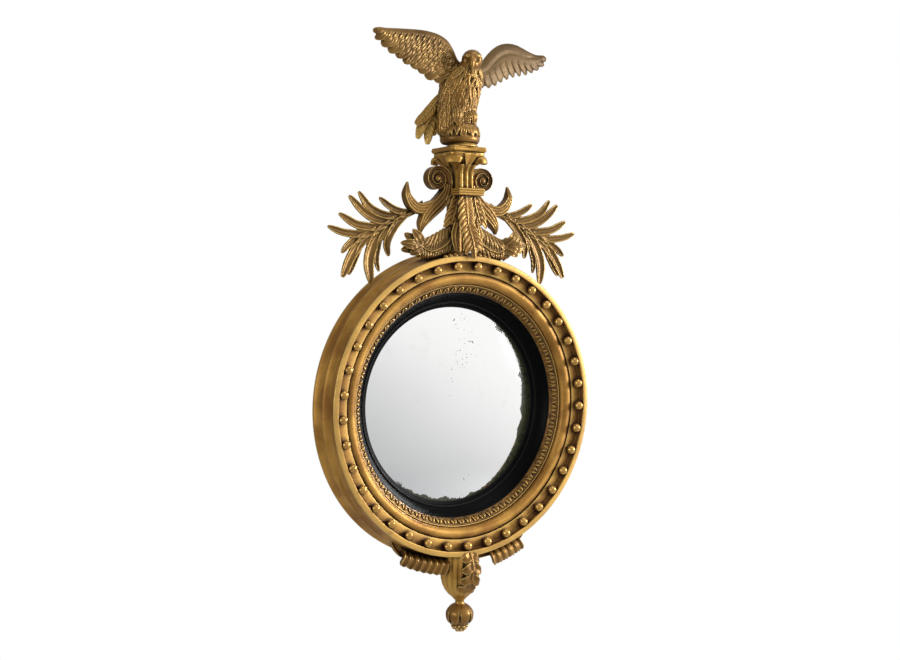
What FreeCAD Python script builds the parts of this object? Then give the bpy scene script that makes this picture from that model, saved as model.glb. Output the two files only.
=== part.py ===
import FreeCAD, Part
import math
import os

# Girandole mirror: a round convex glass in a deep gilt frame with balls in a channel,
# an ebonised slip, an eagle cresting with palm fronds and a leafy apron with a bud.
# Millimetres. The origin is the centre of the round frame on the wall plane:
# X to the viewer's right, Y into the wall, Z up.

V = FreeCAD.Vector

# ---------------------------------------------------------------- driving dimensions
# Round frame, from the glass outwards (radii and widths in the plane of the wall)
sight_radius = 184.0          # the slip's inner edge, where the glass shows
slip_slope_width = 27.5       # sloping black face of the slip
leaf_band_width = 13.5        # carved leaf band
torus_width = 23.0            # big half round with its thin inner fillet
channel_width = 21.0          # channel that holds the balls
rim_width = 10.0              # bright front rim
side_splay = 11.0             # how much wider the drum is at its rear edge
back_ring_inset = 20.0        # plain pine ring behind the drum, smaller than it
# Depths, measured forward from the wall
backboard_thickness = 6.0
back_ring_depth = 10.0
drum_depth = 63.0             # rear edge of the drum to the front rim
channel_depth = 11.5
torus_seat_depth = 27.0       # from the front rim back to the torus ring's seat
torus_edge_drop = 13.5        # front rim back to the torus ring's outer edge
torus_rise = 5.5              # crown of the torus over the line between its edges
torus_inner_drop = 22.5       # front rim back to the torus ring's inner edge
band_seat_depth = 37.0        # front rim back to the leaf band's seat
band_inner_lip = 2.6
slip_sight_depth = 17.3       # wall to the slip's front edge at the glass
slip_lip = 1.6
slip_flange_front = 30.0      # wall to the front face of the slip's flange
# Balls
ball_count = 37
ball_diameter = 17.0
ball_sunk = 0.7               # flat ground on each ball where it is glued down
# Glass
glass_overlap = 14.0          # hidden behind the slip
glass_thickness = 3.5
glass_rise = 19.4             # how far the middle bulges forward of the edge
glass_play = 0.1
pad_count = 8
pad_width = 30.0
pad_radial = 10.0
pad_gap = 0.3
rebate_width = 22.0           # flange of the slip beyond the glass
fit = 0.3                     # clearance of turned pieces in their seats
# Back
backboard_radius = 234.0
board_screw_count = 8
board_screw_circle = 228.0
screw_shank = 3.0
screw_head = 6.0
screw_head_depth = 1.8
board_screw_length = 18.0
hole_play = 0.1
# Hangers: a strap plate with a folded knuckle that holds a D shaped ring
hanger_x = 190.0
hanger_foot_gap = 2.0         # between the backboard and the foot of the plate
plate_width = 12.0
plate_length = 30.0
plate_thickness = 1.2
ring_wire = 2.6
ring_width = 24.0
ring_height = 20.0
ring_lean = 2.8               # degrees towards the frame
knuckle_wall = 1.2
knuckle_play = 0.08
plate_screws = (9.5, 24.5)    # below the knuckle
# Iron straps that hold the cresting and the apron to the drum
strap_width = 16.0
strap_thickness = 3.0
strap_on_drum = 17.0
strap_on_carving = 46.0
strap_screw_length = 14.0
# Cresting, heights above the top of the drum
post_half_width = 10.0
post_front = 60.0             # wall to the post's front face
post_height = 100.0
collar_height = 13.0
collar_half_width = 27.5
collar_front = 90.0
collar_back = 61.0
shaft_half_width = 14.0
shaft_front = 71.0
shaft_height = 44.0
capital_height = 26.0
abacus_half_width = 38.0
abacus_height = 12.0
crest_depth = 44.6            # wall to the middle of the cresting
plinth_radius = 29.0
plinth_height = 6.6
plinth_depth = 56.0
rock_radius = 37.0
rock_height = 40.0
dowel_diameter = 8.0
dowel_length = 30.0
dowel_spacing = 14.0
dowel_middle = 45.0           # wall to the middle of the pair
# Scrolls, one each side, mirrored
volute_x = 36.0               # from the shaft's side to the eye
volute_height = 131.0
volute_radius = 22.0
volute_step = 2.5             # radius lost with each half turn
volute_turns = 5              # half turns
volute_ridge = 2.8
volute_boss = 6.5
scroll_front = 52.0
scroll_depth = 20.0
volute_sunk = 3.0
# Fronds and leaves
frond_depth = 37.0
leaflet_thickness = 8.0
swag_depth = 62.0
centre_leaf_depth = 78.0
side_leaf_depth = 66.0
berry_depth = 73.0
# Apron, under the drum
apron_depth = 47.0
cup_radius = 37.0
cup_height = 75.0
cup_flutes = 14
neck_radius = 8.5
neck_height = 9.0
bud_radius = 26.0
bud_height = 40.0
bud_petals = 7
berry_radius = 18.5
carving_back = 16.0           # flat backs of the carvings, in line with the drum's rear edge

# ---------------------------------------------------------------- sizes that follow
slip_front_radius = sight_radius + slip_slope_width
torus_inner = slip_front_radius + leaf_band_width
channel_inner = torus_inner + torus_width
channel_outer = channel_inner + channel_width
rim_radius = channel_outer + rim_width
drum_radius = rim_radius + side_splay
back_radius = drum_radius - back_ring_inset
back_face = -backboard_thickness
drum_back = back_face - back_ring_depth
front_face = drum_back - drum_depth
channel_floor = front_face + channel_depth
torus_seat = front_face + torus_seat_depth
band_seat = front_face + band_seat_depth
bore_radius = slip_front_radius + 4.5
glass_radius = sight_radius + glass_overlap
slip_flange = glass_radius + rebate_width + 2.0
ball_circle = channel_inner + channel_width / 2 + 1.5
ball_centre = channel_floor - ball_diameter / 2 + ball_sunk
top = drum_radius             # height of the drum's top, where the cresting stands
bottom = -drum_radius         # the apron hangs from here
carving_face = -carving_back  # depth of the carvings' flat backs
hanger_z = plate_length + math.sqrt((backboard_radius + hanger_foot_gap) ** 2
                                    - (hanger_x - plate_width / 2) ** 2)


# ---------------------------------------------------------------- shared shapes
def outline(place, start, *steps):
    """Closed flat face: a step is an end point, or a pair (point on the arc, end point)."""
    edges = []
    here = start
    for step in steps:
        round_step = isinstance(step[0], tuple)
        end = step[1] if round_step else step
        if round_step:
            edges.append(Part.Arc(place(here), place(step[0]), place(end)).toShape())
        else:
            edges.append(Part.LineSegment(place(here), place(end)).toShape())
        here = end
    edges.append(Part.LineSegment(place(here), place(start)).toShape())
    return Part.Face(Part.Wire(edges))


def turned_ring(start, *steps):
    """A ring turned about the frame's axis from (radius, depth) points."""
    face = outline(lambda p: V(p[0], p[1], 0), start, *steps)
    return face.revolve(V(0, 0, 0), V(0, 1, 0), 360)


def turned(x, y, start, *steps):
    """A piece turned about an upright axis at x, y from (radius, height) points."""
    face = outline(lambda p: V(x + p[0], y, p[1]), start, *steps)
    return face.revolve(V(x, y, 0), V(0, 0, 1), 360)


def box(x1, x2, y1, y2, z1, z2):
    low = V(min(x1, x2), min(y1, y2), min(z1, z2))
    return Part.makeBox(abs(x2 - x1), abs(y2 - y1), abs(z2 - z1), low)


def drill(x, y, z, diameter, length):
    return Part.makeCylinder(diameter / 2, length, V(x, y, z), V(0, 1, 0))


def around(count, shape, offset=0.0):
    """Copies of a shape spaced evenly about the frame's axis."""
    copies = []
    for i in range(count):
        copy = shape.copy()
        copy.rotate(V(0, 0, 0), V(0, 1, 0), offset + 360.0 * i / count)
        copies.append(copy)
    return copies


def main_solid(shape):
    return max(shape.Solids, key=lambda solid: solid.Volume)


def seated(piece, *neighbours):
    """The piece cut to lie against its neighbours."""
    for neighbour in neighbours:
        piece = piece.cut(neighbour)
    return main_solid(piece)


def fused(pieces):
    return main_solid(pieces[0].multiFuse(pieces[1:]).removeSplitter())


def mirrored(shape):
    return shape.mirror(V(0, 0, 0), V(1, 0, 0))


def quadratic(first, middle, last, t):
    """Point on the curve through three points at t = 0, 0.5 and 1."""
    a = 2 * (t - 0.5) * (t - 1)
    b = -4 * t * (t - 1)
    c = 2 * t * (t - 0.5)
    return first * a + middle * b + last * c


def blade_section(point, along, half_width, back, front, face):
    """Five sided section across a leaf: a flat back, sharp edges, and a ridge or a channel in front."""
    side = along.cross(face).normalize()
    out = side.cross(along).normalize()
    corners = [point + side * half_width, point + side * half_width * 0.5 - out * back,
               point - side * half_width * 0.5 - out * back, point - side * half_width, point + out * front]
    return Part.makePolygon(corners + corners[:1])


blade_stations = (0.0, 0.3, 0.6, 0.85, 1.0)


def blade(first, middle, last, width, thickness, crown, taper=0.8, face=V(0, -1, 0), swell=0.0):
    """A curved leaf along three points, narrowing by taper and swelling in the middle."""
    sections = []
    for t in blade_stations:
        ahead = quadratic(first, middle, last, min(t + 0.02, 1.02))
        behind = quadratic(first, middle, last, t - 0.02)
        size = 1 - taper * t ** 2 + swell * math.sin(math.pi * t)
        sections.append(blade_section(quadratic(first, middle, last, t), (ahead - behind).normalize(),
                                      width / 2 * size, thickness * size, crown * size, face))
    return Part.makeLoft(sections, True, False)


def lobed_wire(x, y, z, radius, lobes, groove, turn):
    """Closed ring of arcs, a ridge for each lobe with a groove between."""
    edges = []

    def at(angle, size):
        return V(x + size * math.cos(angle), y + size * math.sin(angle), z)

    for i in range(lobes):
        start = turn + 2 * math.pi * i / lobes
        middle = start + math.pi / lobes
        end = turn + 2 * math.pi * (i + 1) / lobes
        arc = Part.Arc(at(start, radius - groove), at(middle, radius), at(end, radius - groove))
        edges.append(arc.toShape())
    return Part.Wire(edges)


def lobed_solid(x, y, rings, lobes, turn=0.0):
    wires = [lobed_wire(x, y, z, radius, lobes, groove, turn) for z, radius, groove in rings]
    return Part.makeLoft(wires, True, False)


def tube_through(circles):
    """Smooth body through level ellipses given as x, y, z, half width, half depth."""
    wires = []
    for x, y, z, wide, deep in circles:
        big, small = max(wide, deep), min(wide, deep)
        curve = Part.Ellipse(V(x, y, z), big, small)
        edge = curve.toShape()
        if deep > wide:
            edge.rotate(V(x, y, z), V(0, 0, 1), 90)
        wires.append(Part.Wire([edge]))
    return Part.makeLoft(wires, True, False)


# ---------------------------------------------------------------- round frame
def frame_carcass():
    arris = drum_back - drum_depth * 0.47
    splay_at_arris = drum_radius - side_splay * 0.55
    rebate = slip_flange + fit
    bore = bore_radius + fit
    drum = turned_ring(
        (rebate, back_face), (back_radius, back_face), (back_radius, drum_back),
        (drum_radius, drum_back), (drum_radius, drum_back - 5.0),
        ((splay_at_arris + 0.9, drum_back - 17.0), (splay_at_arris, arris + 3.0)),
        (splay_at_arris + 1.3, arris + 1.0), (splay_at_arris + 1.3, arris - 1.6),
        (splay_at_arris, arris - 3.4),
        ((rim_radius + 0.7, front_face + 16.0), (rim_radius + 0.4, front_face + 3.0)),
        ((rim_radius - 0.6, front_face + 0.6), (rim_radius - 2.6, front_face)),
        (channel_outer + 2.4, front_face),
        ((channel_outer + 0.7, front_face + 0.6), (channel_outer, front_face + 2.2)),
        (channel_outer - 0.6, channel_floor - 2.4),
        ((channel_outer - 1.3, channel_floor - 0.6), (channel_outer - 3.0, channel_floor)),
        (channel_inner + fit, channel_floor), (channel_inner + fit, torus_seat),
        (torus_inner, torus_seat), (torus_inner, band_seat), (bore, band_seat),
        (bore, -slip_flange_front), (rebate, -slip_flange_front))
    board_hole = drill(board_screw_circle, drum_back - 8.0, 0, screw_shank + hole_play, 30.0)
    for hole in around(board_screw_count, board_hole, 22.5):
        drum = drum.cut(hole)
    for side in (-1, 1):
        for drop in plate_screws:
            drum = drum.cut(drill(side * hanger_x, back_face - 12.0, hanger_z - drop,
                                  screw_shank + hole_play, 20.0))
    for end in (-1, 1):
        drum = drum.cut(drill(0, drum_back - strap_screw_length, end * (drum_radius - strap_on_drum / 2),
                              screw_shank + hole_play, 30.0))
    for hole in crest_dowel_shapes(hole_play):
        drum = drum.cut(hole)
    return main_solid(drum)


def torus_ring():
    outer = channel_inner
    inner = torus_inner + 0.8
    outer_edge = front_face + torus_edge_drop
    inner_edge = front_face + torus_inner_drop
    crown = (outer + inner) / 2 + 1.5
    crown_depth = (outer_edge + inner_edge) / 2 - torus_rise - 2.0
    quirk = inner + 1.6
    return turned_ring(
        (outer, torus_seat), (outer, outer_edge + 1.6), (outer - 1.6, outer_edge),
        ((crown, crown_depth), (quirk, inner_edge - 1.2)), (quirk, inner_edge + 0.8),
        (inner, inner_edge - 0.4), (inner - 1.6, inner_edge), (inner - 1.6, torus_seat))


def leaf_band():
    outer = torus_inner - 1.4
    inner = slip_front_radius
    high = front_face + torus_inner_drop + 2.0
    low = band_seat - band_inner_lip
    middle = ((outer + inner) / 2, (high + low) / 2 - 2.6)
    return turned_ring((outer, band_seat), (outer, high), (middle, (inner, low)), (inner, band_seat))


def ebonised_slip():
    sight = -slip_sight_depth
    lip_back = sight + slip_lip
    top_edge = slip_front_radius - 0.6
    reed = sight_radius + 9.0
    return turned_ring(
        (bore_radius, band_seat), (top_edge, band_seat), (top_edge, band_seat + 1.4),
        ((reed + 11.0, sight - 13.2), (reed + 3.0, sight - 6.0)), (reed + 2.4, sight - 4.8),
        ((reed, sight - 6.0), (reed - 2.2, sight - 3.6)), (reed - 2.6, sight - 2.6),
        ((sight_radius + 3.0, sight - 1.4), (sight_radius, sight)), (sight_radius, lip_back),
        (glass_radius + 2.0, lip_back), (glass_radius + 2.0, back_face),
        (slip_flange, back_face), (slip_flange, -slip_flange_front), (bore_radius, -slip_flange_front))


def channel_balls():
    ball = Part.makeSphere(ball_diameter / 2, V(0, ball_centre, ball_circle))
    floor = box(-ball_diameter, ball_diameter, channel_floor, channel_floor + ball_diameter,
                ball_circle - ball_diameter, ball_circle + ball_diameter)
    return Part.makeCompound(around(ball_count, ball.cut(floor), 180.0 / ball_count))


def glass_sphere():
    return (glass_radius ** 2 + glass_rise ** 2) / (2 * glass_rise)


def glass_front(radius):
    """Depth of the glass's front face at a radius: it bears on the slip's lip."""
    big = glass_sphere()

    def fall(r):
        return big - math.sqrt(big ** 2 - r ** 2)

    return -slip_sight_depth + slip_lip + glass_play + fall(radius) - fall(sight_radius)


def mirror_glass():
    half = glass_radius / 2
    return turned_ring(
        (0, glass_front(0)), ((half, glass_front(half)), (glass_radius, glass_front(glass_radius))),
        (glass_radius, glass_front(glass_radius) + glass_thickness),
        ((half, glass_front(half) + glass_thickness), (0, glass_front(0) + glass_thickness)))


def glazing_pads():
    front = glass_front(glass_radius) + glass_thickness + pad_gap
    pad = box(-pad_width / 2, pad_width / 2, front, back_face,
              glass_radius - pad_radial, glass_radius)
    limit = Part.makeCylinder(glass_radius + 1.0, 40.0, V(0, -30.0, 0), V(0, 1, 0))
    return Part.makeCompound([copy.common(limit) for copy in around(pad_count, pad)])


# ---------------------------------------------------------------- back and hangers
def countersunk_screw(x, y, z, length):
    """Flat headed wood screw lying along Y, its head flush with the plane y."""
    shank = drill(x, y - length, z, screw_shank, length - screw_head_depth / 2)
    head = Part.makeCone(screw_shank / 2, screw_head / 2, screw_head_depth,
                         V(x, y - screw_head_depth, z), V(0, 1, 0))
    slot = box(x - screw_head, x + screw_head, y - 0.6, y + 1.0, z - 0.5, z + 0.5)
    return main_solid(shank.fuse(head).cut(slot))


def screw_hole(x, y, z, through):
    shank = drill(x, y - through, z, screw_shank + hole_play, through + 1.0)
    depth = screw_head_depth + hole_play
    head = Part.makeCone(screw_shank / 2 + hole_play, screw_head / 2 + hole_play, depth,
                         V(x, y - depth, z), V(0, 1, 0))
    return shank.fuse(head)


def backboard():
    board = Part.makeCylinder(backboard_radius, backboard_thickness, V(0, back_face, 0), V(0, 1, 0))
    hole = screw_hole(board_screw_circle, 0, 0, backboard_thickness + 1.0)
    for copy in around(board_screw_count, hole, 22.5):
        board = board.cut(copy)
    return main_solid(board)


def backboard_screws():
    screw = countersunk_screw(board_screw_circle, 0, 0, board_screw_length)
    return Part.makeCompound(around(board_screw_count, screw, 22.5))


def knuckle_radius():
    return ring_wire / 2 + knuckle_play + knuckle_wall


def hanger_axis():
    return back_face + knuckle_radius()


def hanger_plate(side):
    x = side * hanger_x
    y = hanger_axis()
    half = plate_width / 2
    plate = box(x - half, x + half, back_face, back_face + plate_thickness,
                hanger_z - plate_length + half, hanger_z)
    foot = drill(x, back_face, hanger_z - plate_length + half, plate_width, plate_thickness)
    knuckle = Part.makeCylinder(knuckle_radius(), plate_width, V(x - half, y, hanger_z), V(1, 0, 0))
    bore = Part.makeCylinder(ring_wire / 2 + knuckle_play, plate_width + 2.0,
                             V(x - half - 1.0, y, hanger_z), V(1, 0, 0))
    body = plate.multiFuse([foot, knuckle]).cut(bore)
    for drop in plate_screws:
        body = body.cut(drill(x, back_face - 1.0, hanger_z - drop, screw_shank + hole_play, 4.0))
    return main_solid(body)


def d_ring(side):
    """Bent wire: a straight bar in the knuckle, two short legs and a half round bow."""
    x = side * hanger_x
    wire = ring_wire / 2
    half = ring_width / 2 - wire
    corner = 2.2
    leg = ring_height - wire - half

    def at(u, w):
        return V(x + u, hanger_axis(), hanger_z + w)

    bend = corner * (1 - math.sqrt(0.5))
    path = [
        Part.LineSegment(at(0, 0), at(half - corner, 0)).toShape(),
        Part.Arc(at(half - corner, 0), at(half - bend, bend), at(half, corner)).toShape(),
        Part.LineSegment(at(half, corner), at(half, leg)).toShape(),
        Part.Arc(at(half, leg), at(0, leg + half), at(-half, leg)).toShape(),
        Part.LineSegment(at(-half, leg), at(-half, corner)).toShape(),
        Part.Arc(at(-half, corner), at(bend - half, bend), at(corner - half, 0)).toShape(),
        Part.LineSegment(at(corner - half, 0), at(0, 0)).toShape()]
    section = Part.Wire([Part.makeCircle(wire, at(0, 0), V(1, 0, 0))])
    ring = Part.Wire(path).makePipeShell([section], True, False)
    ring.rotate(at(0, 0), V(1, 0, 0), ring_lean)
    return main_solid(ring)


def round_screw(x, y, z, length):
    """Dome headed wood screw along Y, its head seated on the plane y."""
    shank = drill(x, y - length, z, screw_shank, length)
    dome = Part.makeSphere(screw_head / 2, V(x, y, z))
    left, right = x - screw_head, x + screw_head
    low, high = z - screw_head, z + screw_head
    crown = y + screw_head_depth
    outside = box(left, right, y - screw_head, y, low, high)
    flat = box(left, right, crown, y + screw_head, low, high)
    slot = box(left, right, crown - 0.7, y + screw_head, z - 0.4, z + 0.4)
    return main_solid(shank.fuse(dome.cut(outside).cut(flat)).cut(slot))


def hanger_screws():
    face = back_face + plate_thickness
    return Part.makeCompound([round_screw(side * hanger_x, face, hanger_z - drop, 11.0)
                              for side in (-1, 1) for drop in plate_screws])


def strap_screw_heights(end):
    rim = end * (drum_radius - strap_on_drum / 2)
    return [rim, end * (drum_radius + strap_on_carving * 0.3), end * (drum_radius + strap_on_carving * 0.75)]


def iron_strap(end):
    """Flat iron bar across the joint between the drum's rear edge and a carving's back."""
    z1 = end * (drum_radius - strap_on_drum)
    z2 = end * (drum_radius + strap_on_carving)
    half = strap_width / 2
    strap = box(-half, half, drum_back, drum_back + strap_thickness, z1, z2)
    for z in strap_screw_heights(end):
        strap = strap.cut(drill(0, drum_back - 1.0, z, screw_shank + hole_play, strap_thickness + 2.0))
    return main_solid(strap)


def strap_screws():
    face = drum_back + strap_thickness
    return Part.makeCompound([round_screw(0, face, z, strap_screw_length)
                              for end in (-1, 1) for z in strap_screw_heights(end)])


def strap_holes(end):
    return [drill(0, drum_back - strap_screw_length, z, screw_shank + hole_play, strap_screw_length + 1.0)
            for z in strap_screw_heights(end)]


# ---------------------------------------------------------------- cresting
def crest_dowel_shapes(play=0.0):
    start = top - dowel_length / 2 - 4.0 - play
    return [Part.makeCylinder(dowel_diameter / 2 + play / 2, dowel_length + 2 * play,
                              V(0, -dowel_middle + side * dowel_spacing / 2, start)) for side in (-1, 1)]


def crest_post(carcass):
    post = box(-post_half_width, post_half_width, -post_front, carving_face, top - 14.0, top + post_height)
    for hole in crest_dowel_shapes(hole_play) + strap_holes(1):
        post = post.cut(hole)
    return seated(post, carcass)


def collar_block():
    z = top + post_height
    reed = collar_height / 3
    slabs = []
    for i in range(3):
        front = box(-collar_half_width, collar_half_width, -collar_front, -collar_back,
                    z + i * reed, z + (i + 1) * reed)
        edges = [edge for edge in front.Edges
                 if abs(edge.BoundBox.ZLength) < 0.1 and edge.BoundBox.YMin < -collar_back - 0.1]
        slabs.append(front.makeFillet(reed * 0.42, edges))
    tongue = box(-shaft_half_width, shaft_half_width, -collar_back - 1.0, carving_face, z, z + collar_height)
    return fused(slabs + [tongue])


def crest_shaft():
    """Square pier with three reeds and two hollows on its front and sides."""
    z = top + post_height + collar_height
    w = shaft_half_width
    front = -shaft_front
    reed = 2 * w / 5
    x = -w
    steps = [(x, front)]
    for i in range(5):
        bulge = -2.4 if i % 2 == 0 else 1.4
        steps.append(((x + reed / 2, front + bulge), (x + reed, front)))
        x += reed
    steps.append((w, carving_face))
    steps.append((-w, carving_face))
    face = outline(lambda p: V(p[0], p[1], z), *steps)
    return face.extrude(V(0, 0, shaft_height))


petals = 8                    # on the capital: one on each face and one on each corner
petal_cut = dict(width=8.0, thickness=3.0, crown=2.4, taper=-2.0)
lip_cut = dict(width=22.0, thickness=4.0, crown=2.4, taper=0.5)
corner_reach = 13.0           # how much further the corner petals stand out
lip_drop = 12.0


def capital():
    """Square bell that spreads to the abacus, with a petal on each face and a curled one on each corner."""
    z = top + post_height + collar_height + shaft_height
    under = z + capital_height - 3.0
    axis = V(0, -crest_depth, 0)
    wide = abacus_half_width - 4.0
    rings = [(z, shaft_half_width + 5.0, 1.0), (z + 8.0, shaft_half_width + 8.0, 2.0),
             (z + capital_height, wide - 2.0, 2.0)]
    pieces = [lobed_solid(0, -crest_depth, rings, petals, math.pi / petals)]
    for i in range(petals):
        angle = 2 * math.pi * i / petals
        out = V(math.cos(angle), math.sin(angle), 0)
        corner = i % 2 == 1
        reach = wide + (corner_reach if corner else 0.0)
        root = axis + out * (shaft_half_width + 3.0) + V(0, 0, z + 1.0)
        bend = axis + out * (reach - 9.0) + V(0, 0, z + capital_height * 0.5)
        tip = axis + out * reach + V(0, 0, under)
        pieces.append(blade(root, bend, tip, face=out, **petal_cut))
        if corner:
            inner = axis + out * (reach - 10.0) + V(0, 0, under - 1.0)
            crest = axis + out * (reach + 1.0) + V(0, 0, under - 3.0)
            end = axis + out * (reach + 1.5) + V(0, 0, under - lip_drop)
            pieces.append(blade(inner, crest, end, face=out + V(0, 0, 1), **lip_cut))
    above = box(-90, 90, -140, 40, z + capital_height, z + capital_height + 40)
    below = box(-90, 90, -140, 40, z - 40, z)
    return seated(fused(pieces), above, below)


def abacus_base():
    return top + post_height + collar_height + shaft_height + capital_height


def hollow_square(half, z, hollow=2.5, corner=7.0):
    """Square outline with clipped corners and slightly hollow sides."""
    edges = []
    c = -crest_depth
    for i in range(4):
        a = math.pi / 2 * i
        turn = FreeCAD.Rotation(V(0, 0, 1), math.degrees(a))

        def at(u, v):
            return V(0, c, z) + turn.multVec(V(u, v, 0))

        side = Part.Arc(at(half, corner - half), at(half - hollow, 0), at(half, half - corner))
        horn = Part.Arc(at(half, half - corner), at(half - 1.6, half - 1.6), at(half - corner, half))
        edges += [side.toShape(), horn.toShape()]
    return Part.Wire(edges)


def abacus():
    z = abacus_base()
    half = abacus_half_width
    lower = Part.makeLoft([hollow_square(half - 5.0, z), hollow_square(half - 3.6, z + 4.0),
                           hollow_square(half - 0.6, z + abacus_height - 3.4)], True, False)
    lip = Part.Face(hollow_square(half, z + abacus_height - 3.4)).extrude(V(0, 0, 3.4))
    return main_solid(lower.fuse(lip))


def plinth_ring():
    z = abacus_base() + abacus_height
    r = plinth_radius
    h = plinth_height
    return turned(0, -plinth_depth, (0, z), (r - 1.4, z), ((r, z + h * 0.3), (r - 1.4, z + h * 0.6)),
                  (r - 3.4, z + h * 0.66), (r - 3.4, z + h), (0, z + h))


def rock_base():
    return abacus_base() + abacus_height + plinth_height


def rock_mound():
    z = rock_base()
    r = rock_radius
    h = rock_height
    y = -(crest_depth + 2.4)
    return lobed_solid(0, y, [(z, r - 5.0, 1.5), (z + h * 0.2, r, 2.0), (z + h * 0.55, r - 5.0, 2.5),
                              (z + h * 0.85, r - 17.0, 2.0), (z + h, r - 28.0, 1.0)], 9, 0.4)


# ---------------------------------------------------------------- eagle
# Points of the bird are x, y, height above the rock's foot.
body_sections = ((-6, -40, 16, 32, 25), (-6, -42, 44, 35, 27), (-2, -46, 78, 38, 31), (0, -50, 104, 41, 32),
                 (3, -55, 122, 38, 30), (7, -64, 136, 27, 25), (9, -71, 147, 19, 20))
head_centre = (9.0, -75.0, 147.0)
head_radius = 20.0
beak_points = ((1, -89, 147), (-4, -99, 139), (-4, -98, 122))
beak_cut = dict(width=12.0, thickness=7.0, crown=5.0, taper=0.85, face=V(-0.5, -0.8, 0.3))
wing_stations_left = (
    ((-4, 148), (-30, 98)), ((-22, 163), (-50, 101)), ((-30, 176), (-72, 104)),
    ((-42, 187), (-84, 113)), ((-60, 192), (-98, 123)),
    ((-80, 194), (-117, 129)), ((-103, 193), (-129, 137)), ((-128, 190), (-141, 146)),
    ((-148, 188), (-157, 151)), ((-166, 187), (-168, 157)), ((-180, 186), (-183, 164)))
wing_tip_left = (-195, 186)
wing_stations_right = (
    ((34, 142), (32, 98)), ((52, 152), (50, 101)), ((62, 164), (66, 103)),
    ((74, 177), (84, 110)), ((88, 187), (97, 120)),
    ((104, 193), (117, 130)), ((121, 195), (140, 138)), ((140, 192), (165, 148)),
    ((160, 185), (190, 160)), ((180, 181), (198, 170)))
wing_tip_right = (209, 181)
wing_depth = 50.0
wing_slope = 0.09             # the wings' line is turned a little out of the wall's plane
wing_rows = ((1.0, 7.0, 3.0), (0.66, 11.0, 2.4), (0.4, 15.0, 2.0))
tail_feathers = (
    ((-26, -22, 84), (-58, -16, 48), (-75, -14, 30)), ((-22, -21, 80), (-54, -14, 38), (-70, -12, 4)),
    ((-18, -20, 76), (-40, -13, 32), (-48, -11, -4)), ((-12, -19, 70), (-30, -12, 40), (-35, -11, 14)))
tail_cut = dict(width=15.0, thickness=4.0, crown=1.5, taper=0.35, swell=0.3)
shin_cut = dict(width=14.0, thickness=6.0, crown=6.0, taper=0.45)
toe_cut = dict(width=6.0, thickness=3.0, crown=3.0, taper=0.7)
toe_spread = 11
leg_points = (((-16, -66, 46), (-18, -76, 30), (-19, -80, 16)), ((4, -66, 44), (10, -74, 32), (13, -76, 20)))


def bird(point):
    return V(point[0], point[1], rock_base() + point[2])


def eagle_body():
    trunk = tube_through([(x, y, rock_base() + h, wide, deep) for x, y, h, wide, deep in body_sections])
    head = Part.makeSphere(head_radius, bird(head_centre))
    beak = blade(*[bird(p) for p in beak_points], **beak_cut)
    return fused([trunk, head, beak])


def wing_row(stations, tip, share, thickness, scallop):
    """One row of feathers: smooth leading edge above, a rounded end for each feather below."""

    def at(point, lift=0.0):
        return V(point[0], -wing_depth + wing_slope * point[0], rock_base() + point[1] + lift)

    lead = [at(first) for first, last in stations]
    trail = []
    for first, last in stations:
        trail.append(at((first[0] + share * (last[0] - first[0]), first[1] + share * (last[1] - first[1]))))
    edges = []
    curve = Part.BSplineCurve()
    curve.interpolate(lead + [at(tip)])
    edges.append(curve.toShape())
    trail.append(at(tip))
    for i in range(len(trail) - 1, 0, -1):
        middle = (trail[i] + trail[i - 1]) * 0.5
        along = (trail[i - 1] - trail[i]).normalize()
        down = V(along.z, 0, -along.x) * (1 if along.x > 0 else -1)
        bulge = middle + V(down.x, wing_slope * down.x, down.z) * scallop
        edges.append(Part.Arc(trail[i], bulge, trail[i - 1]).toShape())
    edges.append(Part.LineSegment(trail[0], lead[0]).toShape())
    face = Part.Face(Part.Wire(edges))
    plate = face.extrude(V(0, thickness, 0))
    plate.translate(V(0, -thickness / 2, 0))
    return plate


def eagle_wing(stations, tip):
    rows = [wing_row(stations, tip, share, thickness, scallop) for share, thickness, scallop in wing_rows]
    return fused(rows)


def eagle_tail():
    return fused([blade(*[bird(p) for p in feather], **tail_cut) for feather in tail_feathers])


def eagle_legs():
    legs = []
    for hip, knee, foot in leg_points:
        shin = blade(bird(hip), bird(knee), bird(foot), **shin_cut)
        toes = [shin]
        for spread in (-toe_spread, 0, toe_spread):
            tip = (foot[0] + spread, foot[1] - 7, foot[2] - 13)
            bend = (foot[0] + spread * 0.6, foot[1] - 6, foot[2] - 4)
            heel = (foot[0], foot[1] + 1, foot[2] + 4)
            toes.append(blade(bird(heel), bird(bend), bird(tip), **toe_cut))
        legs.append(fused(toes))
    return legs


# ---------------------------------------------------------------- scrolls and fronds
# Points of the right side are distance from the shaft's side, height above the drum's top.
# The left side is their mirror image.
scroll_outer = ((22, 148), (5, 136), (-0.8, 118), (5, 97), (16, 80), (36, 67), (52, 54), (64, 36), (68, 29))
scroll_fork = ((72, 30), (75, 44), (84, 64), (97, 80), (104, 94), (103, 110), (97, 123))
scroll_inner = ((93, 122), (90, 104), (83, 92), (72, 86), (58, 84), (44, 89), (36, 98), (32, 112))
frond_rib = ((84, 72), (127, 49), (200, 14))
frond_leaflets = (
    ((78, 73), (118, 71), (155, 92), 11), ((98, 64), (152, 63), (197, 101), 12.5),
    ((122, 54), (171, 57), (216, 93), 13), ((138, 44), (186, 40), (236, 61), 13),
    ((162, 33), (211, 27), (258, 38), 12), ((170, 30), (206, 14), (230, -2), 11),
    ((158, 34), (201, 2), (230, -45), 16), ((176, 20), (199, -10), (214, -40), 9),
    ((128, 48), (169, 4), (175, -57), 18), ((136, 38), (157, 2), (156, -34), 9),
    ((94, 66), (130, 30), (136, -7), 13))
stem_cut = dict(width=17.0, thickness=leaflet_thickness, crown=3.0, taper=0.6)
leaflet_cut = dict(thickness=leaflet_thickness, crown=-1.5, taper=0.55, swell=0.25)
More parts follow.
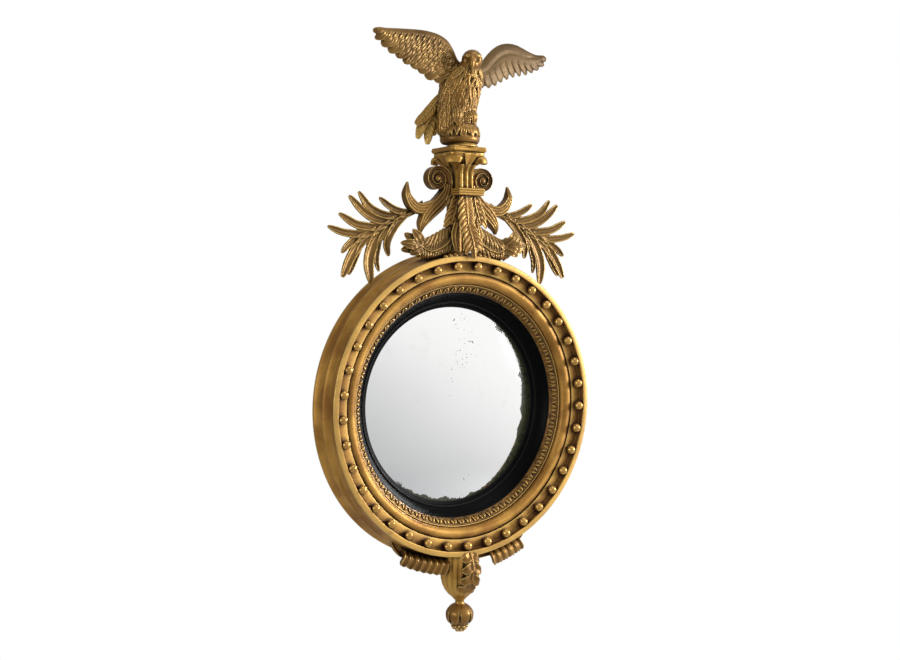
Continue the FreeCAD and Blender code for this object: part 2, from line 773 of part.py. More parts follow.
leaflet_forward = (0.0, 3.0, 7.0)   # how far a leaflet's points stand forward of the stem


def crest_point(point, y):
    return V(point[0], y, top + point[1])


def side_point(point, y):
    return V(shaft_half_width + point[0], y, top + point[1])


def spline_edge(points, y):
    curve = Part.BSplineCurve()
    curve.interpolate([side_point(p, y) for p in points])
    return curve.toShape()


def volute():
    """Disc with a raised spiral on each face and a round boss in the middle."""
    front = -scroll_front
    centre = side_point((volute_x, volute_height), front + volute_sunk)
    disc = Part.makeCylinder(volute_radius - 1.0, scroll_depth - 2 * volute_sunk, centre, V(0, 1, 0))
    pieces = [disc]
    x = volute_x
    radius = volute_radius
    side = -1
    outer = []
    inner = []
    for i in range(volute_turns):
        up = 1 if i % 2 == 0 else -1
        for size, edges in ((radius, outer), (radius - volute_ridge, inner)):
            edges.append(Part.Arc(side_point((x + side * size, volute_height), front),
                                  side_point((x, volute_height + up * size), front),
                                  side_point((x - side * size, volute_height), front)).toShape())
        x -= side * volute_step
        radius -= volute_step
        side = -side
    first = Part.LineSegment(outer[0].Vertexes[0].Point, inner[0].Vertexes[0].Point).toShape()
    last = Part.LineSegment(outer[-1].Vertexes[-1].Point, inner[-1].Vertexes[-1].Point).toShape()
    loop = Part.Wire(Part.sortEdges(outer + [last] + inner + [first])[0])
    pieces.append(Part.Face(loop).extrude(V(0, scroll_depth, 0)))
    boss = Part.makeSphere(volute_boss, side_point((volute_x, volute_height), front + volute_sunk))
    pieces.append(boss)
    return pieces


def scroll():
    """Volute, the band that runs down from it and the leaf that the band ends in."""
    y = -scroll_front + 1.0
    edges = [spline_edge(scroll_outer, y), spline_edge((scroll_outer[-1], (70.5, 28.2), scroll_fork[0]), y),
             spline_edge(scroll_fork, y), spline_edge((scroll_fork[-1], (95.4, 124.6), scroll_inner[0]), y),
             spline_edge(scroll_inner, y)]
    edges.append(Part.LineSegment(side_point(scroll_inner[-1], y), side_point(scroll_outer[0], y)).toShape())
    band = Part.Face(Part.Wire(edges)).extrude(V(0, scroll_depth - 2.0, 0))
    return fused([band] + volute())


def palm_frond():
    y = -frond_depth
    pieces = [blade(*[side_point(p, y) for p in frond_rib], **stem_cut)]
    for root, bend, tip, width in frond_leaflets:
        line = [side_point(p, y - forward) for p, forward in zip((root, bend, tip), leaflet_forward)]
        pieces.append(blade(*line, width=width, **leaflet_cut))
    return fused(pieces)


# ---------------------------------------------------------------- leaves of the cresting
swag_path = ((14, 62), (44, 8), (100, 8))
swag_cut = dict(width=26.0, thickness=11.0, crown=5.0, taper=0.1, swell=0.25)
ruffle_root = (96, 12)
ruffle_angles = (-62, -28, 6, 38, 70)
ruffle_reach = 38.0
ruffle_cut = dict(width=15.0, thickness=7.0, crown=-1.0, taper=0.3)
swag_lobes = 4                # along its upper edge
swag_lobe_cut = dict(width=12.0, thickness=6.0, crown=2.0, taper=0.6)
leaf_rib = ((-6, 1.0, post_height + 2), (-5, -3.0, 38), (7, -6.0, -24))   # x, forward, height
leaf_rib_cut = dict(width=15.0, thickness=4.0, crown=3.5, taper=0.7)
leaf_lobes = 5
leaf_lobe_cut = dict(width=10.0, thickness=3.5, crown=1.0, taper=0.6)
side_leaf_paths = (((-17, post_height + 2), (-25, 74), (-34, 44)), ((-18, 44), (-23, 22), (-22, -2)))
side_leaf_cuts = (dict(width=15.0, thickness=5.0, crown=2.0, taper=0.5, swell=0.3),
                  dict(width=13.0, thickness=4.0, crown=2.5, taper=0.5, swell=0.3))
side_leaf_step = 4.0          # how far the lower leaf stands forward of the upper
berry_places = ((16, -9.5, 5.0), (26, -10.5, 5.5), (37, -12.5, 5.0), (47, -14.0, 4.5))   # x, height, radius


def swag():
    """Acanthus leaf that falls from the collar and turns out along the drum to a ruffled end."""
    y = -swag_depth
    path = [crest_point(p, y) for p in swag_path]
    pieces = [blade(*path, **swag_cut)]
    for degrees in ruffle_angles:
        a = math.radians(degrees)
        tip = (ruffle_root[0] + ruffle_reach * math.cos(a), ruffle_root[1] + ruffle_reach * math.sin(a) * 0.8)
        bend = ((ruffle_root[0] + tip[0]) / 2, (ruffle_root[1] + tip[1]) / 2 + 2.0)
        curl = [crest_point(ruffle_root, y), crest_point(bend, y - 7.0), crest_point(tip, y + 2.0)]
        pieces.append(blade(*curl, **ruffle_cut))
    for i in range(swag_lobes):
        root = quadratic(*path, 0.2 + 0.2 * i)
        pieces.append(blade(root, root + V(9, -4, 13), root + V(17, 2, 17 - 2 * i), **swag_lobe_cut))
    return fused(pieces)


def centre_leaf():
    """Acanthus leaf with a strong rib and paired lobes that hangs over the drum's front."""
    rib = [crest_point((x, h), forward - centre_leaf_depth) for x, forward, h in leaf_rib]
    pieces = [blade(*rib, **leaf_rib_cut)]
    for i in range(leaf_lobes):
        root = quadratic(*rib, 0.12 + 0.16 * i)
        for side in (-1, 1):
            bend = root + V(side * 8, -1.0, -7)
            tip = root + V(side * 14, 1.5, -17)
            pieces.append(blade(root, bend, tip, **leaf_lobe_cut))
    return fused(pieces)


def side_leaves():
    """Two plain leaves on the left of the centre leaf and their mirror on the right."""
    leaves = []
    for i, (path, cut) in enumerate(zip(side_leaf_paths, side_leaf_cuts)):
        depth = side_leaf_depth + i * side_leaf_step
        leaves.append(blade(*[crest_point(point, -depth) for point in path], **cut))
    return leaves + [mirrored(leaf) for leaf in leaves]


def berry_cluster():
    """Small round berries along the top of the drum, smaller away from the middle."""
    return [Part.makeSphere(size, crest_point((side * x, z), -berry_depth))
            for side in (-1, 1) for x, z, size in berry_places]


# ---------------------------------------------------------------- apron
def apron_point(point, y):
    return V(point[0], y, bottom + point[1])


def apron_cup():
    """Fluted cup under the drum, flat at its back."""
    c = -apron_depth
    h = cup_height
    r = cup_radius
    rings = [(bottom + 16.0, r * 0.96, 1.6), (bottom - h * 0.12, r * 0.98, 1.8),
             (bottom - h * 0.42, r * 0.99, 2.2), (bottom - h * 0.66, r * 0.88, 2.0),
             (bottom - h * 0.86, r * 0.6, 1.4), (bottom - h, neck_radius + 2.5, 0.6)]
    cup = lobed_solid(0, c, rings, cup_flutes, math.pi / cup_flutes)
    behind = box(-90, 90, carving_face, 60, bottom - 200, bottom + 90)
    return cup.cut(behind)


under_leaf_rib = ((0, -80, 14), (1, -91, -18), (0, -70, -56))   # x, depth, height below the drum
under_leaf_cut = dict(width=20.0, thickness=5.0, crown=3.0, taper=0.6)
under_lobes = 4
under_lobe_cut = dict(width=12.0, thickness=4.0, crown=1.5, taper=0.5)
spray_path = ((34, -4), (84, 0), (134, 26))
spray_stem_cut = dict(width=13.0, thickness=12.0, crown=9.0, taper=0.1)
spray_lobe_cut = dict(width=13.0, thickness=9.0, crown=6.0, taper=0.0)
spray_curl_cut = dict(width=11.0, thickness=6.0, crown=5.0, taper=0.5)
spray_lobes = 7
spray_missing = {-1: 0, 1: 2}  # lobes that the left and the right spray lack next to the cup


def apron_leaf():
    rib = [apron_point((x, z), y) for x, y, z in under_leaf_rib]
    pieces = [blade(*rib, **under_leaf_cut)]
    for i in range(under_lobes):
        root = quadratic(*rib, 0.12 + 0.2 * i)
        for side in (-1, 1):
            bend = root + V(side * 10, -2.0, -2)
            tip = root + V(side * 17, 3.0, -11)
            pieces.append(blade(root, bend, tip, **under_lobe_cut))
    return fused(pieces)


def apron_spray(side):
    """Row of round ended lobes that follows the underside of the drum, from a curled stem."""
    points = [apron_point(p, -apron_depth) for p in spray_path]
    pieces = [blade(*points, **spray_stem_cut)]
    for i in range(spray_missing[side], spray_lobes):
        root = quadratic(*points, 0.08 + 0.145 * i)
        tip = root + V(2 + i * 0.8, -6, -19 + i * 0.6)
        pieces.append(blade(root + V(-3, 0, 4), root + V(1, -10, -7), tip, **spray_lobe_cut))
    end = points[2]
    pieces.append(blade(end + V(-8, 0, -4), end + V(8, 0, 4), end + V(16, 0, 21), **spray_curl_cut))
    spray = fused(pieces)
    return spray if side > 0 else mirrored(spray)


def finial_neck():
    z = bottom - cup_height
    r = neck_radius
    h = neck_height
    waist = (r - 0.5, z - h * 0.5)
    return turned(0, -apron_depth, (0, z), (r + 2.0, z), (waist, (r + 1.5, z - h)), (0, z - h))


def finial_bud():
    z = bottom - cup_height - neck_height
    h = bud_height
    r = bud_radius
    rings = [(z, neck_radius + 1.5, 0.4), (z - h * 0.14, r * 0.74, 1.4), (z - h * 0.4, r, 2.0),
             (z - h * 0.7, r * 0.99, 2.0), (z - h * 0.9, r * 0.91, 1.6), (z - h, r * 0.84, 1.2)]
    bud = lobed_solid(0, -apron_depth, rings, bud_petals)
    return bud.cut(Part.makeSphere(berry_radius, V(0, -apron_depth, berry_centre())))


def berry_centre():
    return bottom - cup_height - neck_height - bud_height


def finial_berry():
    return Part.makeSphere(berry_radius, V(0, -apron_depth, berry_centre()))


# ---------------------------------------------------------------- build
def main():
    os.makedirs("parts", exist_ok=True)
    carcass = frame_carcass()
    made = {
        "frame_carcass": carcass, "torus_ring": torus_ring(), "leaf_band": leaf_band(),
        "ebonised_slip": ebonised_slip(), "channel_balls": channel_balls(), "mirror_glass": mirror_glass(),
        "glazing_pads": glazing_pads(), "backboard": backboard(), "backboard_screws": backboard_screws(),
        "hanger_plate_left": hanger_plate(-1), "hanger_plate_right": hanger_plate(1),
        "d_ring_left": d_ring(-1), "d_ring_right": d_ring(1), "hanger_screws": hanger_screws(),
        "crest_strap": iron_strap(1), "apron_strap": iron_strap(-1), "strap_screws": strap_screws()}

    post = crest_post(carcass)
    collar = collar_block()
    shaft = crest_shaft()
    made["crest_post"] = post
    made["crest_dowels"] = Part.makeCompound(crest_dowel_shapes())
    made["collar_block"] = collar
    made["crest_shaft"] = shaft
    made["capital"] = capital()
    made["abacus"] = abacus()
    made["plinth_ring"] = plinth_ring()

    rock = rock_mound()
    body = seated(eagle_body(), rock)
    legs = [seated(leg, rock, body) for leg in eagle_legs()]
    made["rock_mound"] = rock
    made["eagle_body"] = body
    made["eagle_legs"] = Part.makeCompound(legs)
    made["eagle_wing_left"] = seated(eagle_wing(wing_stations_left, wing_tip_left), body)
    made["eagle_wing_right"] = seated(eagle_wing(wing_stations_right, wing_tip_right), body)
    made["eagle_tail"] = seated(eagle_tail(), body, rock, made["eagle_wing_left"])

    scroll_right = seated(scroll(), collar, shaft, post)
    frond_right = seated(palm_frond(), scroll_right, carcass)
    made["scroll_right"] = scroll_right
    made["scroll_left"] = mirrored(scroll_right)
    made["palm_frond_right"] = frond_right
    made["palm_frond_left"] = mirrored(frond_right)

    leaf = seated(centre_leaf(), collar, post, carcass, made["torus_ring"])
    swag_right = seated(swag(), collar, post, carcass, leaf, scroll_right, frond_right)
    swag_left = seated(mirrored(swag()), collar, post, carcass, leaf, made["scroll_left"],
                       made["palm_frond_left"])
    made["centre_leaf"] = leaf
    made["swag_right"] = swag_right
    made["swag_left"] = swag_left
    made["side_leaves"] = Part.makeCompound([
        seated(piece, collar, post, carcass, leaf, swag_left, swag_right, made["scroll_left"], scroll_right)
        for piece in side_leaves()])
    made["berry_cluster"] = Part.makeCompound([seated(berry, carcass, leaf, swag_left, swag_right, post)
                                               for berry in berry_cluster()])

    cup = seated(apron_cup(), carcass, *strap_holes(-1))
    leaf_under = seated(apron_leaf(), carcass, cup)
    made["apron_cup"] = cup
    made["apron_leaf"] = leaf_under
    made["apron_spray_right"] = seated(apron_spray(1), carcass, cup, leaf_under)
    made["apron_spray_left"] = seated(apron_spray(-1), carcass, cup, leaf_under)
    made["finial_neck"] = finial_neck()
    made["finial_bud"] = main_solid(finial_bud())
    made["finial_berry"] = finial_berry()

    for name, shape in made.items():
        shape.exportStep("parts/" + name + ".step")
        print(name, len(shape.Solids), round(shape.Volume), shape.isValid())


main()
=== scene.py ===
import bpy
import bmesh
import math
import random
import numpy as np
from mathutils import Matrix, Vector


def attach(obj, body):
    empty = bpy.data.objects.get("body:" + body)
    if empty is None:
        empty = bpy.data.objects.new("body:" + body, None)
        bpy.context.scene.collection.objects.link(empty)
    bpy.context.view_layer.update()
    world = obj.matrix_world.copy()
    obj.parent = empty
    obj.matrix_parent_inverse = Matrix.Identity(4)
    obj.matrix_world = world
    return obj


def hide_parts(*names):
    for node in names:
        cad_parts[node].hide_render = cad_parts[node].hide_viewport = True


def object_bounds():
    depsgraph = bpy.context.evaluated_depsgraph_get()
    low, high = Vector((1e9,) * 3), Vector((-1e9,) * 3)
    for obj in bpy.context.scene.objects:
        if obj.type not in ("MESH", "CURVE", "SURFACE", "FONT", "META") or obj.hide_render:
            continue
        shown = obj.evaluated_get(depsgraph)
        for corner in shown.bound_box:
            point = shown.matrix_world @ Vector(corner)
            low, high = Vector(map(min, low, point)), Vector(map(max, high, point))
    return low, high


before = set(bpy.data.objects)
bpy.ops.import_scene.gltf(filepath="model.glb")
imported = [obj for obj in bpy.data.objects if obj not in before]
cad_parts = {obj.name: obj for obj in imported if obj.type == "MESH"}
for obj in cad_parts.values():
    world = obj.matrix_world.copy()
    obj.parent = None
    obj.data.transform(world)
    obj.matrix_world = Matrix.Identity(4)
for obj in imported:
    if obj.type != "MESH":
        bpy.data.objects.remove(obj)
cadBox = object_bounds()
mm = 0.001
print("frame loaded:", len(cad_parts), "nodes")


# node graphs, for materials and for geometry
class Val:                                     # one output of a node, so that sums read as sums
    def __init__(self, graph, socket):
        self.graph = graph
        self.socket = socket

    def math(self, operation, *others):
        return self.graph.add("ShaderNodeMath", {"operation": operation}, [self, *others])

    def __add__(self, other):
        return self.math("ADD", other)

    __radd__ = __add__

    def __mul__(self, other):
        return self.math("MULTIPLY", other)

    __rmul__ = __mul__

    def __sub__(self, other):
        return self.math("SUBTRACT", other)

    def __rsub__(self, other):
        return self.graph.add("ShaderNodeMath", {"operation": "SUBTRACT"}, [other, self])

    def __pow__(self, other):
        return self.math("POWER", other)

    def output(self, name):                    # another output of the same node
        return Val(self.graph, self.socket.node.outputs[name])

    def between(self, low, high):              # 0 at low, 1 at high, smooth between them
        return self.graph.add("ShaderNodeMapRange", {"interpolation_type": "SMOOTHSTEP"},
                              {"Value": self, "From Min": low, "From Max": high})


class Graph:
    def __init__(self, tree):
        self.tree = tree

    def add(self, kind, settings=None, inputs=None, out=0):
        node = self.tree.nodes.new(kind)
        for key, value in (settings or {}).items():
            setattr(node, key, value)
        pairs = inputs.items() if isinstance(inputs, dict) else enumerate(inputs or [])
        for key, value in pairs:
            if isinstance(value, Val):
                self.tree.links.new(value.socket, node.inputs[key])
            else:
                node.inputs[key].default_value = value
        return Val(self, node.outputs[out]) if node.outputs else None


class Finish(Graph):                           # a material's graph
    def __init__(self, name):
        self.material = bpy.data.materials.new(name)
        self.material.use_nodes = True
        super().__init__(self.material.node_tree)
        self.tree.nodes.clear()
        self.place = self.add("ShaderNodeTexCoord", out="Object")

    def noise(self, scale, detail=4.0, rough=0.6, stretch=None, distort=0.0):
        place = self.place
        if stretch:
            place = self.add("ShaderNodeMapping", {}, {"Vector": place, "Scale": stretch})
        return self.add("ShaderNodeTexNoise", {}, {"Vector": place, "Scale": scale, "Detail": detail,
                                                   "Roughness": rough, "Distortion": distort})

    def mix(self, factor, first, second):
        pair = [c if isinstance(c, Val) else (*c, 1.0) for c in (first, second)]
        return self.add("ShaderNodeMix", {"data_type": "RGBA"}, {0: factor, 6: pair[0], 7: pair[1]}, 2)

    def bump(self, height, strength, distance):
        return self.add("ShaderNodeBump", {}, {"Height": height, "Strength": strength,
                                               "Distance": distance})

    def close(self, **sockets):
        named = {key.replace("_", " "): value for key, value in sockets.items()}
        shader = self.add("ShaderNodeBsdfPrincipled", {}, named)
        self.add("ShaderNodeOutputMaterial", {}, {"Surface": shader})
        return self.material


def rgb(code):                                 # linear colour from a hex code
    parts = [int(code[i:i + 2], 16) / 255 for i in (0, 2, 4)]
    return tuple(c / 12.92 if c <= 0.04045 else ((c + 0.055) / 1.055) ** 2.4 for c in parts)


# finishes: a band is where a mask goes from nothing to all of it
def giltFinish(name, look):
    g = Finish(name)
    cloud = g.noise(look["cloudScale"], 5.0, 0.55)
    grit = g.noise(look["gritScale"], 3.0, 0.7)
    rub = g.noise(look["rubScale"], 6.0, 0.72, distort=0.4)
    streak = g.noise(look["streakScale"], 3.0, 0.6, (0.12, 1.0, 0.12), 0.3)
    # painted shade: ambient occlusion darkens hollows, creases and the channel round the balls towards the
    # dirt colour; partly real dirt and bole in the hollows, partly painted shadow
    shade = g.add("ShaderNodeAmbientOcclusion", {"samples": 6}, {"Distance": look["hollowReach"]}, 1)
    hollow = (1.0 - shade).between(*look["hollowBand"])
    # burnished wear and painted highlight: pointiness lightens ridges and arrises towards the bright colour
    ridge = g.add("ShaderNodeNewGeometry", out="Pointiness").between(*look["ridgeBand"])
    colour = g.mix(cloud.between(*look["cloudBand"]), look["gold"], look["deepGold"])
    colour = g.mix(streak.between(*look["streakBand"]) * look["streakShare"], colour, look["deepGold"])
    colour = g.mix(rub.between(*look["rubBand"]) * look["rubShare"], colour, look["bole"])
    colour = g.mix(ridge * look["ridgeShare"], colour, look["bright"])
    # the grime mask joins the occlusion's painted shade with real grit dirt
    dirt = hollow * look["hollowShare"] + grit.between(*look["gritBand"]) * look["gritShare"]
    dirt = dirt.math("MINIMUM", 1.0)
    colour = g.mix(dirt, colour, look["dirt"])
    # what lies near the wall carries ochre wash and no gold
    depth = g.add("ShaderNodeSeparateXYZ", {}, {"Vector": g.place}).output("Y")
    begin = look["washFrom"]
    washed = (depth + cloud * look["washWander"]).between(begin, begin + look["washBlend"])
    wash = g.mix(streak.between(*look["ochreBand"]), look["ochre"], look["oldOchre"])
    colour = g.mix(washed, colour, wash)
    metal = (1.0 - (dirt * 0.75).math("MAXIMUM", washed)) * look["metal"]
    rough = grit * 0.22 + look["rough"] + dirt * 0.25 - ridge * 0.06 + washed * 0.3
    height = grit * 0.5 + cloud * 2.0
    return g.close(Base_Color=colour, Metallic=metal, Roughness=rough, Specular_IOR_Level=0.3,
                   Normal=g.bump(height, look["bumpShare"], look["bumpDepth"]))


def giltLike(base, gold, deepGold, bright, **changes):
    return {**base, "gold": rgb(gold), "deepGold": rgb(deepGold), "bright": rgb(bright), **changes}


giltLook = {
    "gold": rgb("B88A3E"), "deepGold": rgb("84581F"), "bright": rgb("F4D07A"), "bole": rgb("6A3410"),
    # the dirt colour serves real grime and painted shade in the hollows
    "dirt": rgb("331203"), "ochre": rgb("A9834C"), "oldOchre": rgb("7C5C33"),
    "cloudScale": 17.0, "cloudBand": (0.3, 0.72),
    "gritScale": 260.0, "gritBand": (0.5, 0.8), "gritShare": 0.25,
    "rubScale": 22.0, "rubBand": (0.6, 0.74), "rubShare": 0.75,
    "streakScale": 60.0, "streakBand": (0.5, 0.68), "streakShare": 0.9,
    "ridgeBand": (0.505, 0.56), "ridgeShare": 0.8,
    # hollow reach, band and share set how far and how strongly occlusion paints shade into hollows
    "hollowReach": 0.02, "hollowBand": (0.14, 0.5), "hollowShare": 0.97,
    "washFrom": -0.0155, "washBlend": 0.002, "washWander": 0.004, "ochreBand": (0.4, 0.65),
    "metal": 0.48, "rough": 0.38, "bumpShare": 0.35, "bumpDepth": 0.0006}
carvedLook = giltLike(giltLook, "926A30", "624316", "EAC472", dirt=rgb("1C0D03"), hollowReach=0.009,
                      hollowBand=(0.1, 0.52), cloudScale=14.0, ridgeShare=0.75, rubShare=0.55,
                      streakShare=0.0, rough=0.26, metal=0.5)
# painted shade: darker copies of the carved gilding, for the fronds, swags and wings that take less light
shadedLook = giltLike(carvedLook, "80602E", "553B16", "D6B062")
deepShadedLook = giltLike(shadedLook, "614922", "463317", "A98B52", metal=0.35, rough=0.38)
wingLook = {**shadedLook, "hollowReach": 0.005, "hollowBand": (0.1, 0.7), "hollowShare": 0.75,
            "ridgeShare": 0.55}
# painted light: a lighter copy of the carved gilding for the tail, which faces away from the key lamp
tailLook = giltLike(carvedLook, "D9B25E", "A67C34", "F6DE98", metal=0.3, hollowReach=0.005, washFrom=1.0)
# painted light: a lighter copy of the carved gilding, for the pier, its capital, abacus and plinth and the
# apron's cup
litLook = giltLike(carvedLook, "BE9344", "94692A", "EAC472", hollowShare=0.8)
# the leaf band's hollows take deeper painted shade and its ridges more painted highlight
bandLook = giltLike(carvedLook, "94682D", "3A220F", "B8924A", dirt=rgb("180A04"), hollowReach=0.006,
                    hollowBand=(0.06, 0.36), hollowShare=0.95, ridgeShare=0.7, rubShare=1.0,
                    cloudScale=60.0, rubScale=45.0)
# painted shade: a darker copy of the frame's gilding whose hollow darkening starts sooner, so the channel
# round each ball goes dark like a cast shadow
ballLook = giltLike(giltLook, "A87433", "7A4C1A", "F4D07A", hollowBand=(0.08, 0.36), rubShare=0.85,
                    rubScale=50.0, cloudScale=30.0, rough=0.22, metal=0.7)
# edge is the colour of a painted highlight along the slip's reeds and arrises
ebonyLook = {
    "black": rgb("020303"), "softBlack": rgb("060707"), "grain": rgb("100E0B"), "edge": rgb("3C3D3A"),
    "grainBand": (0.6, 0.75), "grainShare": 0.3, "paintedHighlightBand": (0.505, 0.53), "paintedHighlightShare": 0.7,
    "rough": 0.34, "specular": 0.04}


def ebonisedFinish(name, look):
    g = Finish(name)
    cloud = g.noise(11.0, 4.0)
    grain = g.noise(70.0, 4.0, 0.6, (1.0, 1.0, 0.15))
    # painted highlight: pointiness lightens the arrises towards the edge colour in place of their sheen
    edge = g.add("ShaderNodeNewGeometry", out="Pointiness").between(*look["paintedHighlightBand"])
    colour = g.mix(cloud, look["black"], look["softBlack"])
    colour = g.mix(grain.between(*look["grainBand"]) * look["grainShare"], colour, look["grain"])
    colour = g.mix(edge * look["paintedHighlightShare"], colour, look["edge"])
    return g.close(Base_Color=colour, Roughness=grain * 0.16 + look["rough"],
                   Specular_IOR_Level=look["specular"], Normal=g.bump(grain, 0.1, 0.0004))


def woodFinish(name, pale, dark):
    g = Finish(name)
    grain = g.noise(90.0, 6.0, 0.65, (0.08, 1.0, 1.0), 0.6)
    stain = g.noise(5.0, 4.0)
    colour = g.mix(grain.between(0.35, 0.65), pale, dark)
    colour = g.mix(stain.between(0.5, 0.75) * 0.6, colour, tuple(c * 0.45 for c in dark))
    return g.close(Base_Color=colour, Roughness=grain * 0.2 + 0.55, Normal=g.bump(grain, 0.3, 0.0006))


def metalFinish(name, bright, dull, metal, rough):
    g = Finish(name)
    cloud = g.noise(60.0, 5.0)
    spots = g.noise(420.0, 3.0)
    colour = g.mix(cloud.between(0.35, 0.7), bright, dull)
    return g.close(Base_Color=colour, Metallic=metal, Roughness=spots * 0.25 + rough,
                   Normal=g.bump(spots, 0.2, 0.0003))


giltWood = giltFinish("giltWood", giltLook)
giltCarving = giltFinish("giltCarving", carvedLook)
giltShaded = giltFinish("giltShaded", shadedLook)
giltLit = giltFinish("giltLit", litLook)
giltBand = giltFinish("giltBand", bandLook)
giltDeepShaded = giltFinish("giltDeepShaded", deepShadedLook)
giltTail = giltFinish("giltTail", tailLook)
giltWing = giltFinish("giltWing", wingLook)
giltBalls = giltFinish("giltBalls", ballLook)
ebonised = ebonisedFinish("ebonised", ebonyLook)
pine = woodFinish("pine", rgb("B98B5A"), rgb("8A5F36"))
brass = metalFinish("brass", rgb("B5924C"), rgb("7A5F30"), 1.0, 0.25)
steel = metalFinish("steel", rgb("8A8782"), rgb("55504A"), 1.0, 0.3)
iron = metalFinish("iron", rgb("3A3532"), rgb("221D1B"), 0.7, 0.5)
print("finishes made")


# mesh helpers
def asObject(name, verts, faces, edges=()):
    mesh = bpy.data.meshes.new(name)
    mesh.from_pydata([tuple(v) for v in verts], list(edges), faces)
    mesh.update()
    piece = bpy.data.objects.new(name, mesh)
    bpy.context.scene.collection.objects.link(piece)
    return piece


def outwards(mesh, merge=0.0):
    bm = bmesh.new()
    bm.from_mesh(mesh)
    if merge:
        bmesh.ops.remove_doubles(bm, verts=bm.verts, dist=merge)
    bmesh.ops.recalc_face_normals(bm, faces=bm.faces)
    bm.to_mesh(mesh)
    bm.free()


def applied(piece):                            # the piece as a plain mesh, its modifiers used up
    graph = bpy.context.evaluated_depsgraph_get()
    mesh = bpy.data.meshes.new_from_object(piece.evaluated_get(graph))
    piece.modifiers.clear()
    piece.data = mesh
    mesh.name = piece.name
    return piece


def addModifier(piece, kind, **settings):
    modifier = piece.modifiers.new(kind.lower(), kind)
    for key, value in settings.items():
        setattr(modifier, key, value)
    return modifier


def smoothShade(piece, sharpAngle=None):
    piece.data.shade_smooth()
    if sharpAngle:
        piece.data.set_sharp_from_angle(angle=math.radians(sharpAngle))


def seat(piece, material, *nodes, slot="gilt_composition"):
    piece.data.materials.clear()
    piece.data.materials.append(material)
    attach(piece, "mirror")
    if nodes:
        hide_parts(*nodes)


# geometry node trees
def nodeTree(name, inputs):
    tree = bpy.data.node_groups.new(name, "GeometryNodeTree")
    tree.interface.new_socket("Geometry", in_out="INPUT", socket_type="NodeSocketGeometry")
    for label, kind in inputs:
        tree.interface.new_socket(label, in_out="INPUT", socket_type="NodeSocket" + kind)
    tree.interface.new_socket("Geometry", in_out="OUTPUT", socket_type="NodeSocketGeometry")
    graph = Graph(tree)
    node = tree.nodes.new("NodeGroupInput")
    graph.given = {socket.name: Val(graph, socket) for socket in node.outputs}
    return graph


def closeTree(graph, geometry):
    real = graph.add("GeometryNodeRealizeInstances", {}, {"Geometry": geometry})
    done = graph.add("GeometryNodeSetMaterial", {}, {"Geometry": real, "Material": graph.given["Material"]})
    graph.add("NodeGroupOutput", {}, [done])
    return graph.tree


def useTree(piece, tree, **values):
    modifier = addModifier(piece, "NODES", node_group=tree)
    for item in tree.interface.items_tree:
        if item.item_type == "SOCKET" and item.in_out == "INPUT" and item.name in values:
            modifier[item.identifier] = values[item.name]
    return applied(piece)


def turnTree():                                # a profile swept round the frame's axis
    g = nodeTree("turnedRing", [("Radius", "Float"), ("Segments", "Int"), ("Material", "Material")])
    circle = g.add("GeometryNodeCurvePrimitiveCircle", {}, {"Resolution": g.given["Segments"],
                                                          "Radius": g.given["Radius"]})
    profile = g.add("GeometryNodeMeshToCurve", {}, {"Mesh": g.given["Geometry"]})
    swept = g.add("GeometryNodeCurveToMesh", {}, {"Curve": circle, "Profile Curve": profile})
    upright = g.add("GeometryNodeTransform", {}, {"Geometry": swept, "Rotation": (math.pi / 2, 0, 0)})
    return closeTree(g, upright)


def rowTree():                                 # copies of a shape spaced round the frame's axis
    g = nodeTree("ringRow", [("Radius", "Float"), ("Count", "Int"), ("Start", "Float"),
                             ("Material", "Material")])
    circle = g.add("GeometryNodeCurvePrimitiveCircle", {}, {"Resolution": 720, "Radius": g.given["Radius"]})
    points = g.add("GeometryNodeCurveToPoints", {"mode": "COUNT"}, {"Curve": circle,
                                                                 "Count": g.given["Count"]})
    row = g.add("GeometryNodeInstanceOnPoints", {}, {"Points": points, "Instance": g.given["Geometry"],
                                                    "Rotation": points.output("Rotation")})
    angle = g.add("ShaderNodeCombineXYZ", {}, {"Z": g.given["Start"]})
    begun = g.add("GeometryNodeTransform", {}, {"Geometry": row, "Rotation": angle})
    upright = g.add("GeometryNodeTransform", {}, {"Geometry": begun, "Rotation": (math.pi / 2, 0, 0)})
    return closeTree(g, upright)


turnedRing = turnTree()
ringRow = rowTree()


# turned pieces of the round frame: a step of an outline is the end of a line, or (via, end) for an arc
def profileOf(start, *steps):
    points = [start]
    for step in steps:
        if not isinstance(step[0], tuple):
            points.append(step)
            continue
        a, m, b = (complex(*p) for p in (points[-1], step[0], step[1]))
        w = (b - a) / (m - a)
        centre = a + (m - a) * (w - abs(w) ** 2) / (2j * w.imag)
        first = np.angle(a - centre)
        sweep = np.angle((b - centre) / (a - centre))
        middle = np.angle((m - centre) / (a - centre))
        if sweep * middle < 0 or abs(middle) > abs(sweep):
            sweep -= math.copysign(2 * math.pi, sweep)
        n = max(4, int(abs(sweep) * abs(a - centre) / 1.5))
        for i in range(1, n + 1):
            p = centre + abs(a - centre) * np.exp(1j * (first + sweep * i / n))
            points.append((p.real, p.imag))
    return points


def turnedPiece(name, profile, material, middle, segments=288, soften=0.5):
    count = len(profile)
    loop = asObject(name, [((r - middle) * mm, y * mm, 0.0) for r, y in profile], [],
                    [(i, (i + 1) % count) for i in range(count)])
    useTree(loop, turnedRing, Radius=middle * mm, Segments=segments, Material=material)
    outwards(loop.data)
    if soften:
        addModifier(loop, "BEVEL", width=soften * mm, segments=2, limit_method="ANGLE",
                    angle_limit=math.radians(32), use_clamp_overlap=True)
        applied(loop)
    smoothShade(loop, 40)
    return loop


ring = {                                       # millimetres: radii, and depths in front of the wall
    "sight": 184.0, "slipFront": 211.5, "torusInner": 225.0, "channelInner": 248.0,
    "channelOuter": 269.0, "rim": 279.0, "drum": 290.0, "backRing": 270.0, "bore": 216.0,
    "back": -6.0, "drumBack": -16.0, "front": -79.0, "floor": -67.5, "torusSeat": -52.0,
    "bandSeat": -42.0, "slipFlange": 222.0, "flangeFront": -30.0}


